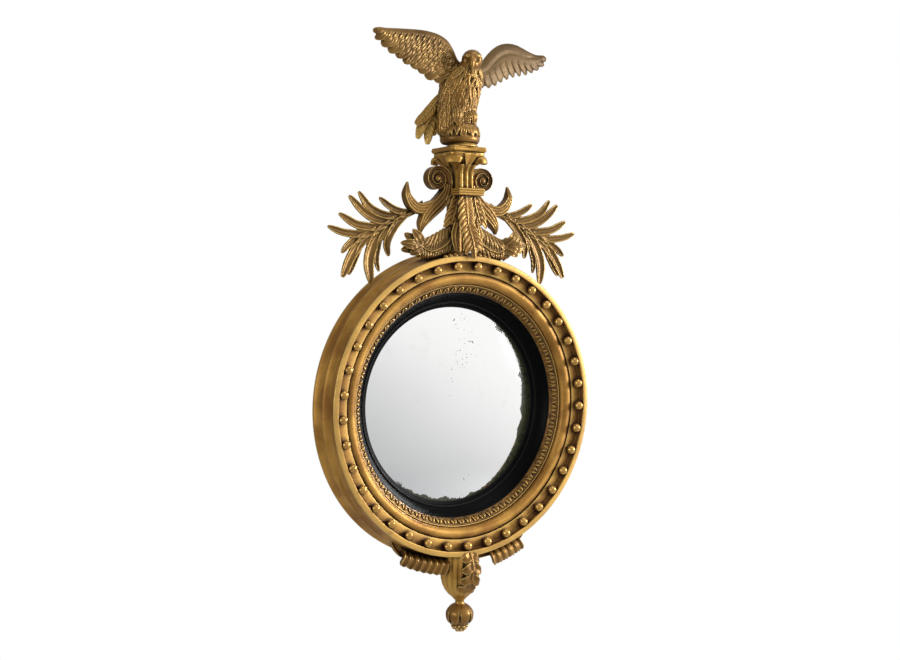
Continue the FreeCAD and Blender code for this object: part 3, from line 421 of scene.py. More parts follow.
def drumProfile(r):
    arris = r["drumBack"] - 29.6
    waist = r["drum"] - 6.0
    return profileOf(
        (r["slipFlange"], r["back"]), (r["backRing"], r["back"]), (r["backRing"], r["drumBack"]),
        (r["drum"], r["drumBack"]), (r["drum"], r["drumBack"] - 5.0),
        ((waist + 0.9, r["drumBack"] - 17.0), (waist, arris + 3.0)), (waist + 1.3, arris + 1.0),
        (waist + 1.3, arris - 1.6), (waist, arris - 3.4),
        ((r["rim"] + 0.7, r["front"] + 16.0), (r["rim"] + 0.4, r["front"] + 3.0)),
        ((r["rim"] - 0.2, r["front"] + 0.7), (r["rim"] - 1.5, r["front"])),
        (r["channelOuter"] + 1.2, r["front"]),
        ((r["channelOuter"] + 0.3, r["front"] + 0.4), (r["channelOuter"], r["front"] + 1.3)),
        (r["channelOuter"] - 0.6, r["floor"] - 2.4),
        ((r["channelOuter"] - 1.3, r["floor"] - 0.6), (r["channelOuter"] - 3.0, r["floor"])),
        (r["channelInner"] + 0.3, r["floor"]), (r["channelInner"] + 0.3, r["torusSeat"]),
        (r["torusInner"], r["torusSeat"]), (r["torusInner"], r["bandSeat"]),
        (r["bore"] + 0.3, r["bandSeat"]), (r["bore"] + 0.3, r["flangeFront"]),
        (r["slipFlange"], r["flangeFront"]))


def torusProfile(r):
    outer = r["channelInner"]
    inner = r["torusInner"] + 0.8
    outerEdge = r["front"] + 13.5
    innerEdge = r["front"] + 22.5
    crown = ((outer + inner) / 2 + 1.5, (outerEdge + innerEdge) / 2 - 7.5)
    return profileOf(
        (outer, r["torusSeat"]), (outer, outerEdge + 1.6), (outer - 1.6, outerEdge),
        (crown, (inner + 1.6, innerEdge - 1.2)), (inner + 1.6, innerEdge + 0.8),
        (inner, innerEdge - 0.4), (inner - 1.6, innerEdge), (inner - 1.6, r["torusSeat"]))


def slipProfile(r):
    sight = -17.3
    top = r["slipFront"] - 0.6
    reed = r["sight"] + 9.0
    return profileOf(
        (r["bore"], r["bandSeat"]), (top, r["bandSeat"]), (top, r["bandSeat"] + 1.4),
        ((reed + 11.0, sight - 13.2), (reed + 3.0, sight - 6.0)), (reed + 2.4, sight - 4.8),
        ((reed, sight - 6.0), (reed - 2.2, sight - 3.6)), (reed - 2.6, sight - 2.6),
        ((r["sight"] + 3.0, sight - 1.4), (r["sight"], sight)), (r["sight"], sight + 1.6),
        (r["sight"] + 16.0, sight + 1.6), (r["sight"] + 16.0, r["back"]),
        (r["slipFlange"] - 0.3, r["back"]),
        (r["slipFlange"] - 0.3, r["flangeFront"]), (r["bore"], r["flangeFront"]))


seat(turnedPiece("drum", drumProfile(ring), giltWood, 250.0), giltWood, "frame_carcass", slot="gilt_wood")
seat(turnedPiece("torus", torusProfile(ring), giltWood, 235.0), giltWood, "torus_ring", slot="gilt_wood")
seat(turnedPiece("slip", slipProfile(ring), ebonised, 200.0, soften=0.4), ebonised, "ebonised_slip",
     slot="ebonised_wood")
print("round frame turned")


# balls in the channel
balls = {"count": 37, "radius": 8.5, "circle": 260.0, "centre": -75.3, "seatFlat": 0.7, "meridians": 28,
         "rings": 16, "begin": 0.75}           # begin is a share of the step from ball to ball


def ballShape(b):
    verts = []
    faces = []
    n = b["meridians"]
    for i in range(b["rings"] + 1):
        a = math.pi * i / b["rings"]
        for j in range(n):
            t = 2 * math.pi * j / n
            r = b["radius"] * math.sin(a)
            y = b["centre"] + max(-b["radius"], min(b["radius"] - b["seatFlat"], b["radius"] * math.cos(a)))
            verts.append((r * math.cos(t) * mm, y * mm, r * math.sin(t) * mm))
    for i in range(b["rings"]):
        for j in range(n):
            a, c = i * n + j, i * n + (j + 1) % n
            faces.append((a, c, c + n, a + n))
    return verts, faces


step = 2 * math.pi / balls["count"]
ballRow = asObject("balls", *ballShape(balls))
outwards(ballRow.data, 0.00001)
useTree(ballRow, ringRow, Radius=balls["circle"] * mm, Count=balls["count"], Start=balls["begin"] * step,
        Material=giltBalls)
smoothShade(ballRow, 50)
seat(ballRow, giltBalls, "channel_balls", slot="gilt_wood")
print("balls set")


# carving: closed shells that are melted into one skin, cresting on the drum's top and apron under its foot
top = ring["drum"]
bottom = -ring["drum"]
sections = {                                   # across a leaf: shares of its half width and thickness
    "channel": ((-1, 0.1), (-0.93, 0.42), (-0.75, 0.5), (-0.4, 0.2), (0, 0.08), (0.4, 0.2), (0.75, 0.5),
                (0.93, 0.42), (1, 0.1), (0.75, -0.36), (0, -0.5), (-0.75, -0.36)),
    "hollow": ((-1, 0.2), (-0.9, 0.46), (-0.7, 0.46), (0, 0.2), (0.7, 0.46), (0.9, 0.46), (1, 0.2),
               (0.8, -0.4), (0, -0.5), (-0.8, -0.4)),
    "trough": ((-1, 0.36), (-0.95, 0.5), (-0.8, 0.5), (-0.6, 0.33), (0, 0.25), (0.6, 0.33), (0.8, 0.5),
               (0.95, 0.5), (1, 0.36), (1, -0.5), (-1, -0.5)),
    "fluted": ((-1, 0.3), (-0.88, 0.46), (-0.7, 0.49), (-0.53, 0.39), (-0.36, 0.48), (-0.18, 0.5),
               (0, 0.39), (0.18, 0.5), (0.36, 0.48), (0.53, 0.39), (0.7, 0.49), (0.88, 0.46), (1, 0.3),
               (1, -0.5), (-1, -0.5)),
    "ridge": ((-1, 0.05), (-0.85, 0.2), (-0.45, 0.05), (-0.16, 0.14), (0, 0.5), (0.16, 0.14), (0.45, 0.05),
              (0.85, 0.2), (1, 0.05), (0.7, -0.32), (0, -0.45), (-0.7, -0.32)),
    "round": tuple((math.cos(a * math.pi / 6), 0.5 * math.sin(a * math.pi / 6)) for a in range(12)),
    "grooved": ((-1, 0.1), (-0.9, 0.45), (-0.72, 0.5), (-0.52, 0.22), (-0.34, 0.45), (-0.12, 0.5),
                (0.1, 0.22), (0.3, 0.46), (0.5, 0.5), (0.66, 0.24), (0.85, 0.48), (1, 0.1), (0.8, -0.42),
                (0, -0.5), (-0.8, -0.42))}
shapes = {                                     # along a leaf: share of its length, share of its width
    "leaflet": ((0, 0.7), (0.2, 0.9), (0.5, 1.0), (0.8, 0.88), (0.93, 0.62), (1, 0.35)),
    "lobe": ((0, 0.7), (0.35, 1.0), (0.7, 0.85), (0.9, 0.5), (1, 0.15)),
    "rib": ((0, 1.0), (0.6, 0.75), (1, 0.25)),
    "even": ((0, 1.0), (1, 1.0)),
    "bulb": ((0, 0.7), (0.4, 0.9), (0.75, 1.0), (0.9, 0.85), (0.97, 0.6), (1, 0.4)),
    "scale": ((0, 0.75), (0.4, 1.0), (0.75, 0.92), (0.92, 0.62), (1, 0.3)),
    "tapered": ((0, 1.0), (0.5, 0.72), (1, 0.2)),
    "petal": ((0, 0.4), (0.3, 0.9), (0.55, 1.0), (0.75, 0.85), (0.9, 0.5), (1, 0.15))}


def curveThrough(points, count):               # evenly spaced points on a smooth curve
    p = np.array([tuple(v) for v in points], float)
    p = np.vstack([2 * p[0] - p[1], p, 2 * p[-1] - p[-2]])
    t = np.linspace(0, 1, 24, endpoint=False)[:, None]
    parts = []
    for a, b, c, d in zip(p, p[1:], p[2:], p[3:]):
        parts.append(0.5 * (2 * b + (c - a) * t + (2 * a - 5 * b + 4 * c - d) * t ** 2
                            + (3 * b - a - 3 * c + d) * t ** 3))
    line = np.vstack(parts + [p[-2][None]])
    length = np.r_[0, np.cumsum(np.linalg.norm(np.diff(line, axis=0), axis=1))]
    even = np.linspace(0, length[-1], count)
    return np.column_stack([np.interp(even, length, line[:, k]) for k in range(3)])


def turnsOf(count):
    return np.linspace(0, 2 * math.pi, count, endpoint=False)


def levelRing(centre, radius, count=64, deep=None):  # deep is the radius from front to back
    turn = turnsOf(count)
    deep = radius if deep is None else deep
    return np.column_stack([radius * np.cos(turn), deep * np.sin(turn), np.zeros(count)]) + centre


def inFrontOf(depth):                          # keeps a carving from reaching behind a plane this deep
    return lambda points: np.minimum(points, (1000.0, depth, 1000.0))


def unit(v):
    return v / np.maximum(np.linalg.norm(v, axis=-1, keepdims=True), 1e-9)


def frameAlong(points, count, face):           # path, direction, sideways and outwards vectors along it
    path = curveThrough(points, count)
    along = unit(np.gradient(path, axis=0))
    face = np.array(face, float)
    if face.ndim == 2:                         # one facing for each end
        face = face[0] + (face[1] - face[0]) * np.linspace(0, 1, count)[:, None]
    side = unit(np.cross(along, face))
    return path, along, side, unit(np.cross(side, along))


class Carving:
    def __init__(self):
        self.verts = []
        self.faces = []

    def shell(self, verts, faces):
        start = len(self.verts)
        self.verts += [tuple(v) for v in verts]
        self.faces += [tuple(i + start for i in face) for face in faces]

    def tube(self, rings):                     # rings of equal count, closed at both ends
        count, n = len(rings), len(rings[0])
        faces = [(i * n + j, i * n + (j + 1) % n, (i + 1) * n + (j + 1) % n, (i + 1) * n + j)
                 for i in range(count - 1) for j in range(n)]
        faces += [tuple(range(n)), tuple(reversed(range((count - 1) * n, count * n)))]
        self.shell(np.vstack(rings), faces)

    def blade(self, points, width, thick, section="ridge", shape="lobe", face=(0, -1, 0), count=18,
              sink=1.3):
        path, along, side, out = frameAlong(points, count, face)
        if isinstance(width, tuple):           # one width for each point
            gaps = np.linalg.norm(np.diff(np.array([tuple(p) for p in points], float), axis=0), axis=1)
            stops = np.column_stack([np.r_[0, np.cumsum(gaps)] / gaps.sum(), np.array(width) / max(width)])
            width = max(width)
        else:
            stops = np.array(shapes[shape])
        size = np.interp(np.linspace(0, 1, count), stops[:, 0], stops[:, 1])
        deep = np.clip(size * sink, 0.3, 1.0)
        cut = np.array(sections[section])
        self.tube(path[:, None] + side[:, None] * (cut[:, 0, None] * width / 2) * size[:, None, None]
                  + out[:, None] * (cut[:, 1, None] * thick) * deep[:, None, None])

    def ball(self, centre, radius, stretch=(1, 1, 1)):
        rings = []
        for a in np.linspace(0.06, math.pi - 0.06, 12):
            turn = turnsOf(20)
            rings.append(np.column_stack([np.cos(turn) * math.sin(a), np.sin(turn) * math.sin(a),
                                          np.full(20, math.cos(a))]) * radius * np.array(stretch) + centre)
        self.tube(rings)

    def block(self, low, high):
        x, y, z = zip(low, high)
        self.tube([np.array([(x[0], y[0], h), (x[1], y[0], h), (x[1], y[1], h), (x[0], y[1], h)])
                   for h in z])

    def mirrored(self):
        other = Carving()
        other.verts = [(-x, y, z) for x, y, z in self.verts]
        other.faces = list(self.faces)
        return other

    def piece(self, name, voxel=0.8, smooth=2, keep=None):
        made = asObject(name, [(x * mm, y * mm, z * mm) for x, y, z in self.verts], self.faces)
        outwards(made.data)
        addModifier(made, "REMESH", mode="VOXEL", voxel_size=voxel * mm)
        addModifier(made, "SMOOTH", factor=0.5, iterations=smooth)
        applied(made)
        if keep:
            co = np.empty(len(made.data.vertices) * 3)
            made.data.vertices.foreach_get("co", co)
            made.data.vertices.foreach_set("co", keep(co.reshape(-1, 3) / mm).ravel() * mm)
        smoothShade(made)
        return made


def bothSides(name, nodeName, carving, material, **finish):  # as made, and mirrored on the left
    for side, shape in (("right", carving), ("left", carving.mirrored())):
        seat(shape.piece(name + side.capitalize(), **finish), material, nodeName + "_" + side)


# palm fronds
frond = {"depth": 37.0, "thick": 8.5, "tipForward": 6.0, "stemWidth": 17.0, "swell": 1.12}
frondStem = ((72, 84), (98, 70), (125, 58), (155, 41), (187, 26), (208, 15))
frondLeaflets = (                              # x, height above the drum along each leaflet, then its width
    (((92, 73), (112, 68), (132, 71), (150, 79), (169, 92)), 12.5),
    (((112, 64), (139, 60), (166, 64), (191, 77), (211, 101)), 14.0),
    (((136, 54), (158, 51), (180, 55), (203, 68), (230, 93)), 14.5),
    (((152, 44), (172, 39), (194, 40), (218, 44), (250, 61)), 14.5),
    (((176, 33), (196, 26), (220, 26), (245, 29), (272, 38)), 13.5),
    (((184, 30), (204, 20), (222, 12), (234, 3), (245, -8)), 13.0),
    (((172, 34), (193, 21), (212, 3), (228, -19), (244, -51)), 18.0),
    (((190, 20), (205, 4), (214, -14), (222, -30), (231, -47)), 10.0),
    (((142, 48), (166, 29), (181, 6), (190, -24), (187, -62)), 21.0),
    (((150, 38), (164, 20), (171, -2), (174, -22), (170, -41)), 10.0),
    (((108, 66), (128, 49), (144, 29), (153, 8), (150, -13)), 15.0))


def makeFronds(f):
    right = Carving()
    right.blade([(x, -f["depth"], top + h) for x, h in frondStem], f["stemWidth"], f["thick"] + 3.0,
                "ridge", "rib", count=30)
    for points, width in frondLeaflets:
        n = len(points) - 1
        line = [(x, -f["depth"] - f["tipForward"] * (i / n) ** 2, top + h)
                for i, (x, h) in enumerate(points)]
        right.blade(line, width * f["swell"], f["thick"], "channel", "leaflet", count=30)
    bothSides("palmFrond", "palm_frond", right, giltShaded, voxel=1.0)


makeFronds(frond)
print("fronds carved")


# scrolls
scroll = {"eye": (50.0, 131.0), "front": -52.0, "depth": 19.0, "boss": 6.4, "begin": 217.0, "end": -520.0,
          "step": 9.0, "disc": 19.0}
spiralSize = ((-900, 3.6), (-720, 4.6), (-630, 5.4), (-540, 6.8), (-450, 9.0), (-360, 11.4), (-270, 13.8),
              (-180, 16.4), (-90, 19.2), (0, 21.0), (90, 22.6), (135, 26.0), (180, 31.0), (240, 38.0))
scrollBand = ((27, 121, 17), (29, 107, 22), (36, 95, 26), (47, 83, 27), (60, 72, 26), (73, 58, 22),
              (81, 44, 13), (83, 31, 4))       # x, height above the drum, width
scrollHorn = ((46, 90, 12), (60, 82, 18), (75, 76, 20), (91, 76, 20), (104, 85, 19), (112, 99, 13),
              (112, 112, 8), (110, 123, 3))


def lineOf(stations, y):                       # path and widths from (x, height, width) stations
    return [(x, y, top + h) for x, h, w in stations], tuple(w for x, h, w in stations)


def makeScrolls(s):
    right = Carving()
    x, z = s["eye"][0], top + s["eye"][1]
    middle = s["front"] + s["depth"] / 2
    turns, sizes = zip(*spiralSize)
    line = []
    widths = []
    for a in np.arange(s["begin"], s["end"], -s["step"]):
        outer, inner = np.interp((a, a - 360), turns, sizes)
        r = (outer + inner) / 2
        line.append((x + r * math.cos(math.radians(a)), middle, z + r * math.sin(math.radians(a))))
        widths.append(outer - inner + 1.2)
    right.blade(line, tuple(widths), s["depth"], "trough", count=220, sink=9.0)
    disc = turnsOf(48)
    right.tube([np.column_stack([x + s["disc"] * np.cos(disc), np.full(48, y),
                                 z + s["disc"] * np.sin(disc)])
                for y in (s["front"] + 6.5, s["front"] + s["depth"] + 1.0)])
    right.ball((x, s["front"] + 4.0, z), s["boss"])
    for stations, deep in ((scrollBand, s["depth"]), (scrollHorn, s["depth"] - 1.5)):
        path, wide = lineOf(stations, middle)
        right.blade(path, wide, deep, "fluted", count=50, sink=1.7)
    bothSides("scroll", "scroll", right, giltCarving, voxel=0.8)


makeScrolls(scroll)
print("scrolls carved")


# leaves of the cresting
leafLook = {"plate": 0.72, "ribWidth": 5.0, "ribRise": 2.6, "thick": 4.0, "lobes": 7, "first": 0.08,
            "last": 0.9, "sides": (-1, 1), "lift": 1.8, "droop": 1.2, "sweep": 0.9, "lobeWidth": 10.0}
swagLine = ((18, 45, 20), (25, 30, 34), (36, 14, 42), (54, 2, 42), (75, -3, 36), (97, 7, 26))
swagTop = ((30, 47), (44, 38), (56, 31), (68, 24), (80, 16), (92, 13))
swagFoot = ((22, 0), (38, -8), (54, -13), (70, -17), (86, -18), (98, -14))
ruffleTips = ((97, 26), (113, 37), (127, 29), (139, 11), (134, -2), (119, -10), (100, -15))
swag = {"depth": 60.0, "ribs": 8, "ribWidth": 15.0, "ribThick": 5.0, "ruffleWidth": 22.0,
        "ruffleThick": 5.0}


def acanthus(carving, rib, width, look, face=(0, -1, 0)):
    path, along, side, out = frameAlong(rib, 61, face)
    carving.blade(rib, width * look["plate"], look["thick"] * 1.3, "round", "rib", face, 30)
    carving.blade(path[::6] + out[::6] * look["ribRise"], look["ribWidth"], 4.6, "round", "tapered",
                  face, 40)
    for i in range(look["lobes"]):
        t = look["first"] + (look["last"] - look["first"]) * i / (look["lobes"] - 1)
        k = int(t * 60)
        reach = width / 2 * math.sin(math.pi * (0.25 + 0.57 * t)) ** 0.6
        for s in look["sides"]:
            root = path[k] - along[k] * 3 + out[k] * 0.5
            bend = path[k] + s * side[k] * reach * 0.55 + along[k] * reach * 0.25 + out[k] * look["lift"]
            tip = (path[k] + s * side[k] * reach + along[k] * reach * look["sweep"]
                   - out[k] * look["droop"])
            carving.blade((root, bend, tip), look["lobeWidth"], look["thick"], "hollow", "lobe", out[k], 14)


def makeSwags(s):
    right = Carving()
    y = -s["depth"]
    path, wide = lineOf(swagLine, y + 2.0)
    right.blade(path, wide, 13.0, "round", count=40, sink=3.0)
    spine = curveThrough(path, 41)
    over = curveThrough([(x, y, top + h) for x, h in swagTop], 41)
    under = curveThrough([(x, y, top + h) for x, h in swagFoot], 41)
    for i in range(s["ribs"]):
        k = int(5 + 33 * i / (s["ribs"] - 1))
        for edge, reach, lean in ((over, 3.0, 10), (under, 1.0, 3)):
            back = max(k - lean, 0)
            tip = edge[back] + (edge[back] - spine[back]) * 0.12
            bend = spine[k] * 0.45 + edge[(k + back) // 2] * 0.55 + (0, -6.0, 0)
            right.blade((spine[k] + (0, -4.0, 0), bend, tip + (0, 1.0 - reach, 0)), s["ribWidth"],
                        s["ribThick"], "ridge", "lobe", (0, -1, 0.3 * (1 if reach > 2 else -1)), 14)
    right.blade([p + (0, -7.5, 0) for p in spine[::5]], 6.0, 5.0, "round", "tapered", count=40)
    root = np.array((93.0, y, top + 6.0))
    right.ball(root + (3, 4, 2), 15.0, (1.1, 0.7, 1.0))
    for i, (x, h) in enumerate(ruffleTips):
        lift = 6.0 if i % 2 else -1.0
        tip = np.array((x, y - lift, top + h))
        bend = (root + tip) / 2 + (0, -9.0 if i % 2 else -3.0, 0)
        right.blade((root + (-5, 0, 0), bend, tip), s["ruffleWidth"], s["ruffleThick"], "ridge", "lobe",
                    count=20)
    bothSides("swag", "swag", right, giltShaded, voxel=0.9)


centreLeaf = {                                 # ribs as x, depth, height above the drum
    "upper": ((-8, -77, 101), (-7, -79, 80), (-6, -82, 54), (-4, -84, 30)),
    "lower": ((-5, -82, 44), (0, -86, 22), (5, -87, 2), (8, -86, -16)),
    "fine": {**leafLook, "lobes": 10, "lobeWidth": 6.5, "thick": 3.4, "sides": (-1,), "last": 0.96,
             "lift": 1.2},
    "bold": {**leafLook, "lobes": 6, "lobeWidth": 9.5, "sides": (1,), "last": 0.92},
    "foot": {**leafLook, "lobes": 4, "lobeWidth": 12.0, "last": 0.55, "thick": 4.4, "sweep": 0.8}}


def makeCentreLeaf(c):
    leaf = Carving()
    for rib, width, look in (("upper", 34.0, "fine"), ("upper", 36.0, "bold"), ("lower", 40.0, "foot")):
        acanthus(leaf, [(x, y, top + h) for x, y, h in c[rib]], width, c[look])
    seat(leaf.piece("centreLeaf", 0.7, 1), giltCarving, "centre_leaf")


sideLeaf = {
    "depth": -67.0, "rib": ((17, 99), (20, 82), (27, 62), (33, 45)), "width": 30.0,
    "tongueDepth": -72.0, "tongue": ((21, 50), (26, 30), (25, 12), (22, -5)), "tongueWidth": 17.0,
    "look": {**leafLook, "lobes": 5, "lobeWidth": 11.0, "last": 0.85, "thick": 4.2, "sweep": 1.4}}


def makeSideLeaves(s):
    leaves = Carving()
    for side in (-1, 1):
        acanthus(leaves, [(side * x, s["depth"], top + h) for x, h in s["rib"]], s["width"], s["look"])
        leaves.blade([(side * x, s["tongueDepth"], top + h) for x, h in s["tongue"]], s["tongueWidth"], 7.0,
                     "ridge", "lobe", count=24)
    seat(leaves.piece("sideLeaves", 0.8, 1), giltCarving, "side_leaves")


berries = {"depth": -73.0,                     # and each one's x, height above the drum, radius
           "places": ((16, -9.5, 5.0), (26, -10.5, 5.5), (37, -12.5, 5.0), (47, -14.0, 4.5))}


def makeBerries(b):
    cluster = Carving()
    for side in (-1, 1):
        for x, h, radius in b["places"]:
            cluster.ball((side * x, b["depth"], top + h), radius)
    seat(cluster.piece("berries", 0.6, 1), giltCarving, "berry_cluster")


post = {"half": 9.4, "front": -58.0, "back": -16.0, "foot": -13.0, "high": 100.0,
        "flankReeds": (-22.0, -31.0, -40.0, -49.0, -57.0), "frontReeds": (-6.0, 0.0, 6.0)}


def makePost(p):
    shaft = Carving()
    shaft.block((-p["half"], p["front"], top + p["foot"]), (p["half"], p["back"], top + p["high"]))
    for y in p["flankReeds"]:
        for side in (-1, 1):
            shaft.blade([(side * 9.0, y, top + h) for h in (99, 60, 20, -8)], 8.4, 7.0, "round", "even",
                        (side, -0.2, 0), 20)
    for x in p["frontReeds"]:
        shaft.blade([(x, p["front"], top + h) for h in (99, 60, 20, -2)], 6.0, 4.4, "round", "even",
                    count=20)
    seat(shaft.piece("crestPost", 1.0, 1), giltCarving, "crest_post")


makeSwags(swag)
makeCentreLeaf(centreLeaf)
makeSideLeaves(sideLeaf)
makeBerries(berries)
makePost(post)
print("leaves carved")


# pier, collar, capital, abacus and plinth
pier = {"collar": 100.0, "collarHigh": 13.0, "collarHalf": 27.5, "collarFront": -90.0, "shaftHigh": 41.0,
        "capitalHigh": 25.0, "abacusHigh": 11.0, "axisDepth": -44.6, "half": 14.0, "front": -71.0,
        "back": -16.0, "plinthDepth": -56.0,
        "flare": ((0, 1.0), (14, 1.0), (28, 1.0), (34, 1.05), (38, 1.13), (44, 1.26))}  # height, spread
bellOutline = ((-2, 14.0, 25.0), (4, 16.0, 26.0), (9, 22.0, 29.0), (14, 31.0, 33.0), (18, 37.5, 37.5),
               (25, 38.5, 38.5))               # height, radius, radius to the front
slabOutline = ((0.0, 35.0), (1.0, 36.6), (2.6, 38.4), (4.6, 39.4), (6.4, 39.6), (8.0, 39.2), (8.6, 37.8),
               (9.4, 37.8), (10.2, 38.6), (11.0, 38.2))  # height, half width
plinthOutline = ((0, 27.4), (0.8, 28.5), (2.0, 29.0), (3.2, 28.5), (4.0, 27.2), (4.3, 25.6), (5.8, 25.6),
                 (6.6, 25.0))                  # height, radius
# leaves of the capital: distance out, height, width
cornerLeaf = ((13, -4, 7), (21, 2, 11), (32, 9, 24), (41, 14, 33), (46, 13, 33), (47.5, 5, 26))
faceLeaf = ((21, -3, 5), (25, 4, 11), (31, 12, 20), (36, 19, 26), (38, 23, 28))
frontLeaf = ((28, -4, 5), (30, 4, 12), (34, 12, 21), (38, 19, 27), (40, 23, 29))
collarFoot = top + pier["collar"]
shaftFoot = collarFoot + pier["collarHigh"]
capitalFoot = shaftFoot + pier["shaftHigh"]
slabFoot = capitalFoot + pier["capitalHigh"]
plinthFoot = slabFoot + pier["abacusHigh"]


def squareOutline(half, z, hollow, corner, count=10):  # hollow sides and clipped corners
    c = pier["axisDepth"]
    points = []
    for i in range(4):
        a = math.pi / 2 * i
        for v in np.linspace(-1, 1, count):
            u = half - hollow * (1 - v * v)
            w = v * (half - corner)
            points.append((u * math.cos(a) - w * math.sin(a), c + u * math.sin(a) + w * math.cos(a), z))
    return np.array(points)


def reededOutline(p, z, spread):               # the pier's plan: reeds on the front and the flanks
    points = []
    reed = 2 * p["half"] / 5
    for i in range(5):
        bulge = -2.8 if i % 2 == 0 else 2.0
        for t in np.linspace(0, 1, 7, endpoint=False):
            points.append((-p["half"] + reed * (i + t), p["front"] + bulge * math.sin(math.pi * t)))
    flank = np.linspace(p["front"], p["back"], 41)
    for side in (1, -1):
        wave = 1.5 * np.abs(np.sin((flank - p["front"]) * math.pi / 11.0))
        points += [(side * (p["half"] + w - 1.5), y) for w, y in zip(wave, flank)]
        flank = flank[::-1]
    c = p["axisDepth"]
    return np.array([(x * spread, c + (y - c) * (spread if y < c else 1.0), z) for x, y in points])


def makeShaft(p):
    shaft = Carving()
    shaft.tube([reededOutline(p, shaftFoot + high, spread) for high, spread in p["flare"]])
    seat(shaft.piece("shaft", 0.85, 1), giltLit, "crest_shaft")


def makeCollar(p):
    collar = Carving()
    step = p["collarHigh"] / 3
    for i in range(3):
        for grow, low, high in ((-1.4, 0.0, step), (0.0, 0.9, step - 0.9)):
            half = p["collarHalf"] + grow
            collar.block((-half, p["collarFront"] - grow, collarFoot + i * step + low),
                         (half, -60.0, collarFoot + i * step + high))
    collar.block((-p["half"], -61.0, collarFoot), (p["half"], p["back"], collarFoot + p["collarHigh"]))
    seat(collar.piece("collar", 0.65, 2), giltLit, "collar_block")


def makeCapital(p):
    capital = Carving()
    axis = np.array((0.0, p["axisDepth"], capitalFoot))
    turn = turnsOf(64)
    square = 1 / (np.abs(np.cos(turn)) ** 6 + np.abs(np.sin(turn)) ** 6) ** (1 / 6)
    front = np.sin(turn) < 0
    capital.tube([levelRing(axis + (0, 0, high), r * square, 64, np.where(front, ahead, r) * square)
                  for high, r, ahead in bellOutline])
    for i in range(8):
        a = math.pi / 4 * i
        out = np.array((math.cos(a), math.sin(a), 0.0))
        leaf = cornerLeaf if i % 2 else frontLeaf if i == 6 else faceLeaf
        capital.blade([axis + out * r + (0, 0, h) for r, h, w in leaf], tuple(w for r, h, w in leaf),
                      13.0 if i % 2 else 7.0, "round" if i % 2 else "hollow",
                      face=(out + (0, 0, -0.3), out + (0, 0, 0.5)), count=34, sink=3.0)
    seat(capital.piece("capitalLeaves", 0.85, 1, inFrontOf(-0.4)), giltLit, "capital")


def makeSlabAndPlinth(p):
    slab = Carving()
    slab.tube([squareOutline(half, slabFoot + high, 1.6, 5.0) for high, half in slabOutline])
    seat(slab.piece("abacusSlab", 0.85, 1), giltLit, "abacus")
    plinth = Carving()
    plinth.tube([levelRing((0, p["plinthDepth"], plinthFoot + high), r, 96) for high, r in plinthOutline])
    seat(plinth.piece("plinth", 0.8, 1), giltLit, "plinth_ring")


makeShaft(pier)
makeCollar(pier)
makeCapital(pier)
makeSlabAndPlinth(pier)
perch = top + 202.1                            # heights of the bird are measured from here
print("pier carved")


# eagle
eagle = {
    "body": ((-6, -40, 10, 31, 24), (-6, -42, 44, 34, 27), (-2, -46, 76, 36, 30), (0, -50, 102, 39, 31),
             (3, -55, 120, 36, 29), (7, -64, 134, 25, 24), (9, -70, 146, 19, 20)),
    "head": (9.0, -75.0, 147.0), "headRadius": 19.6, "facing": (-0.53, -0.82, -0.22), "seed": 11,
    "locks": 13, "lockWidth": 15.5, "lockThick": 8.4, "rowGap": 9.5,
    "sweep": ((30, -0.32), (80, -0.12), (108, 0.16), (140, 0.42)),
    "breast": ((-8, 112, 52, 5), (0, 120, 36, -4), (8, 112, 46, 4), (-14, 92, 40, -4), (15, 96, 52, 3)),
    "wingDepth": -50.0, "wingSlope": 0.09}
leftWing = {
    "lead": ((2, 140), (-14, 153), (-23, 169), (-33, 181), (-50, 189), (-76, 192.4), (-104, 191.6),
             (-143, 188.4), (-176, 186), (-194, 186)),
    "trail": ((-22, 100), (-46, 101), (-69, 103), (-84, 113), (-98, 122), (-117, 130), (-132, 139),
              (-154, 149), (-170, 160), (-184, 170), (-195, 181)),
    "smooth": 17.0, "flights": 11, "flightLong": 27.0, "rows": (8.0, 18.0, 28.0, 39.0, 50.0, 62.0),
    "scale": 17.0, "spacing": 12.5, "flightThick": 4.6, "flightLift": 0.6, "facing": (0, -1, 0.2),
    "finish": giltWing}
rightWing = {
    "lead": ((26, 136), (50, 150), (62, 163), (76, 177), (92, 187.4), (112, 192.4), (132, 190.8),
             (152, 184.6), (178, 179), (207, 180)),
    "trail": ((28, 98), (50, 102), (66, 102), (84, 110), (97, 118), (117, 129), (140, 138), (166, 148),
              (190, 160), (202, 169), (208, 177)),
    "smooth": 25.0, "flights": 12, "flightLong": 70.0, "rows": (), "flightThick": 4.4, "flightLift": 0.8,
    "facing": (0.35, -1, 0), "finish": giltDeepShaded}
draw = random.Random(eagle["seed"])


def bodyPoint(h, turn, lift=0.0):
    s = np.array(eagle["body"], float)
    x, y, wide, deep = (np.interp(h, s[:, 2], s[:, k]) for k in (0, 1, 3, 4))
    return np.array((x + (wide + lift) * math.cos(turn), y + (deep + lift) * math.sin(turn), perch + h))


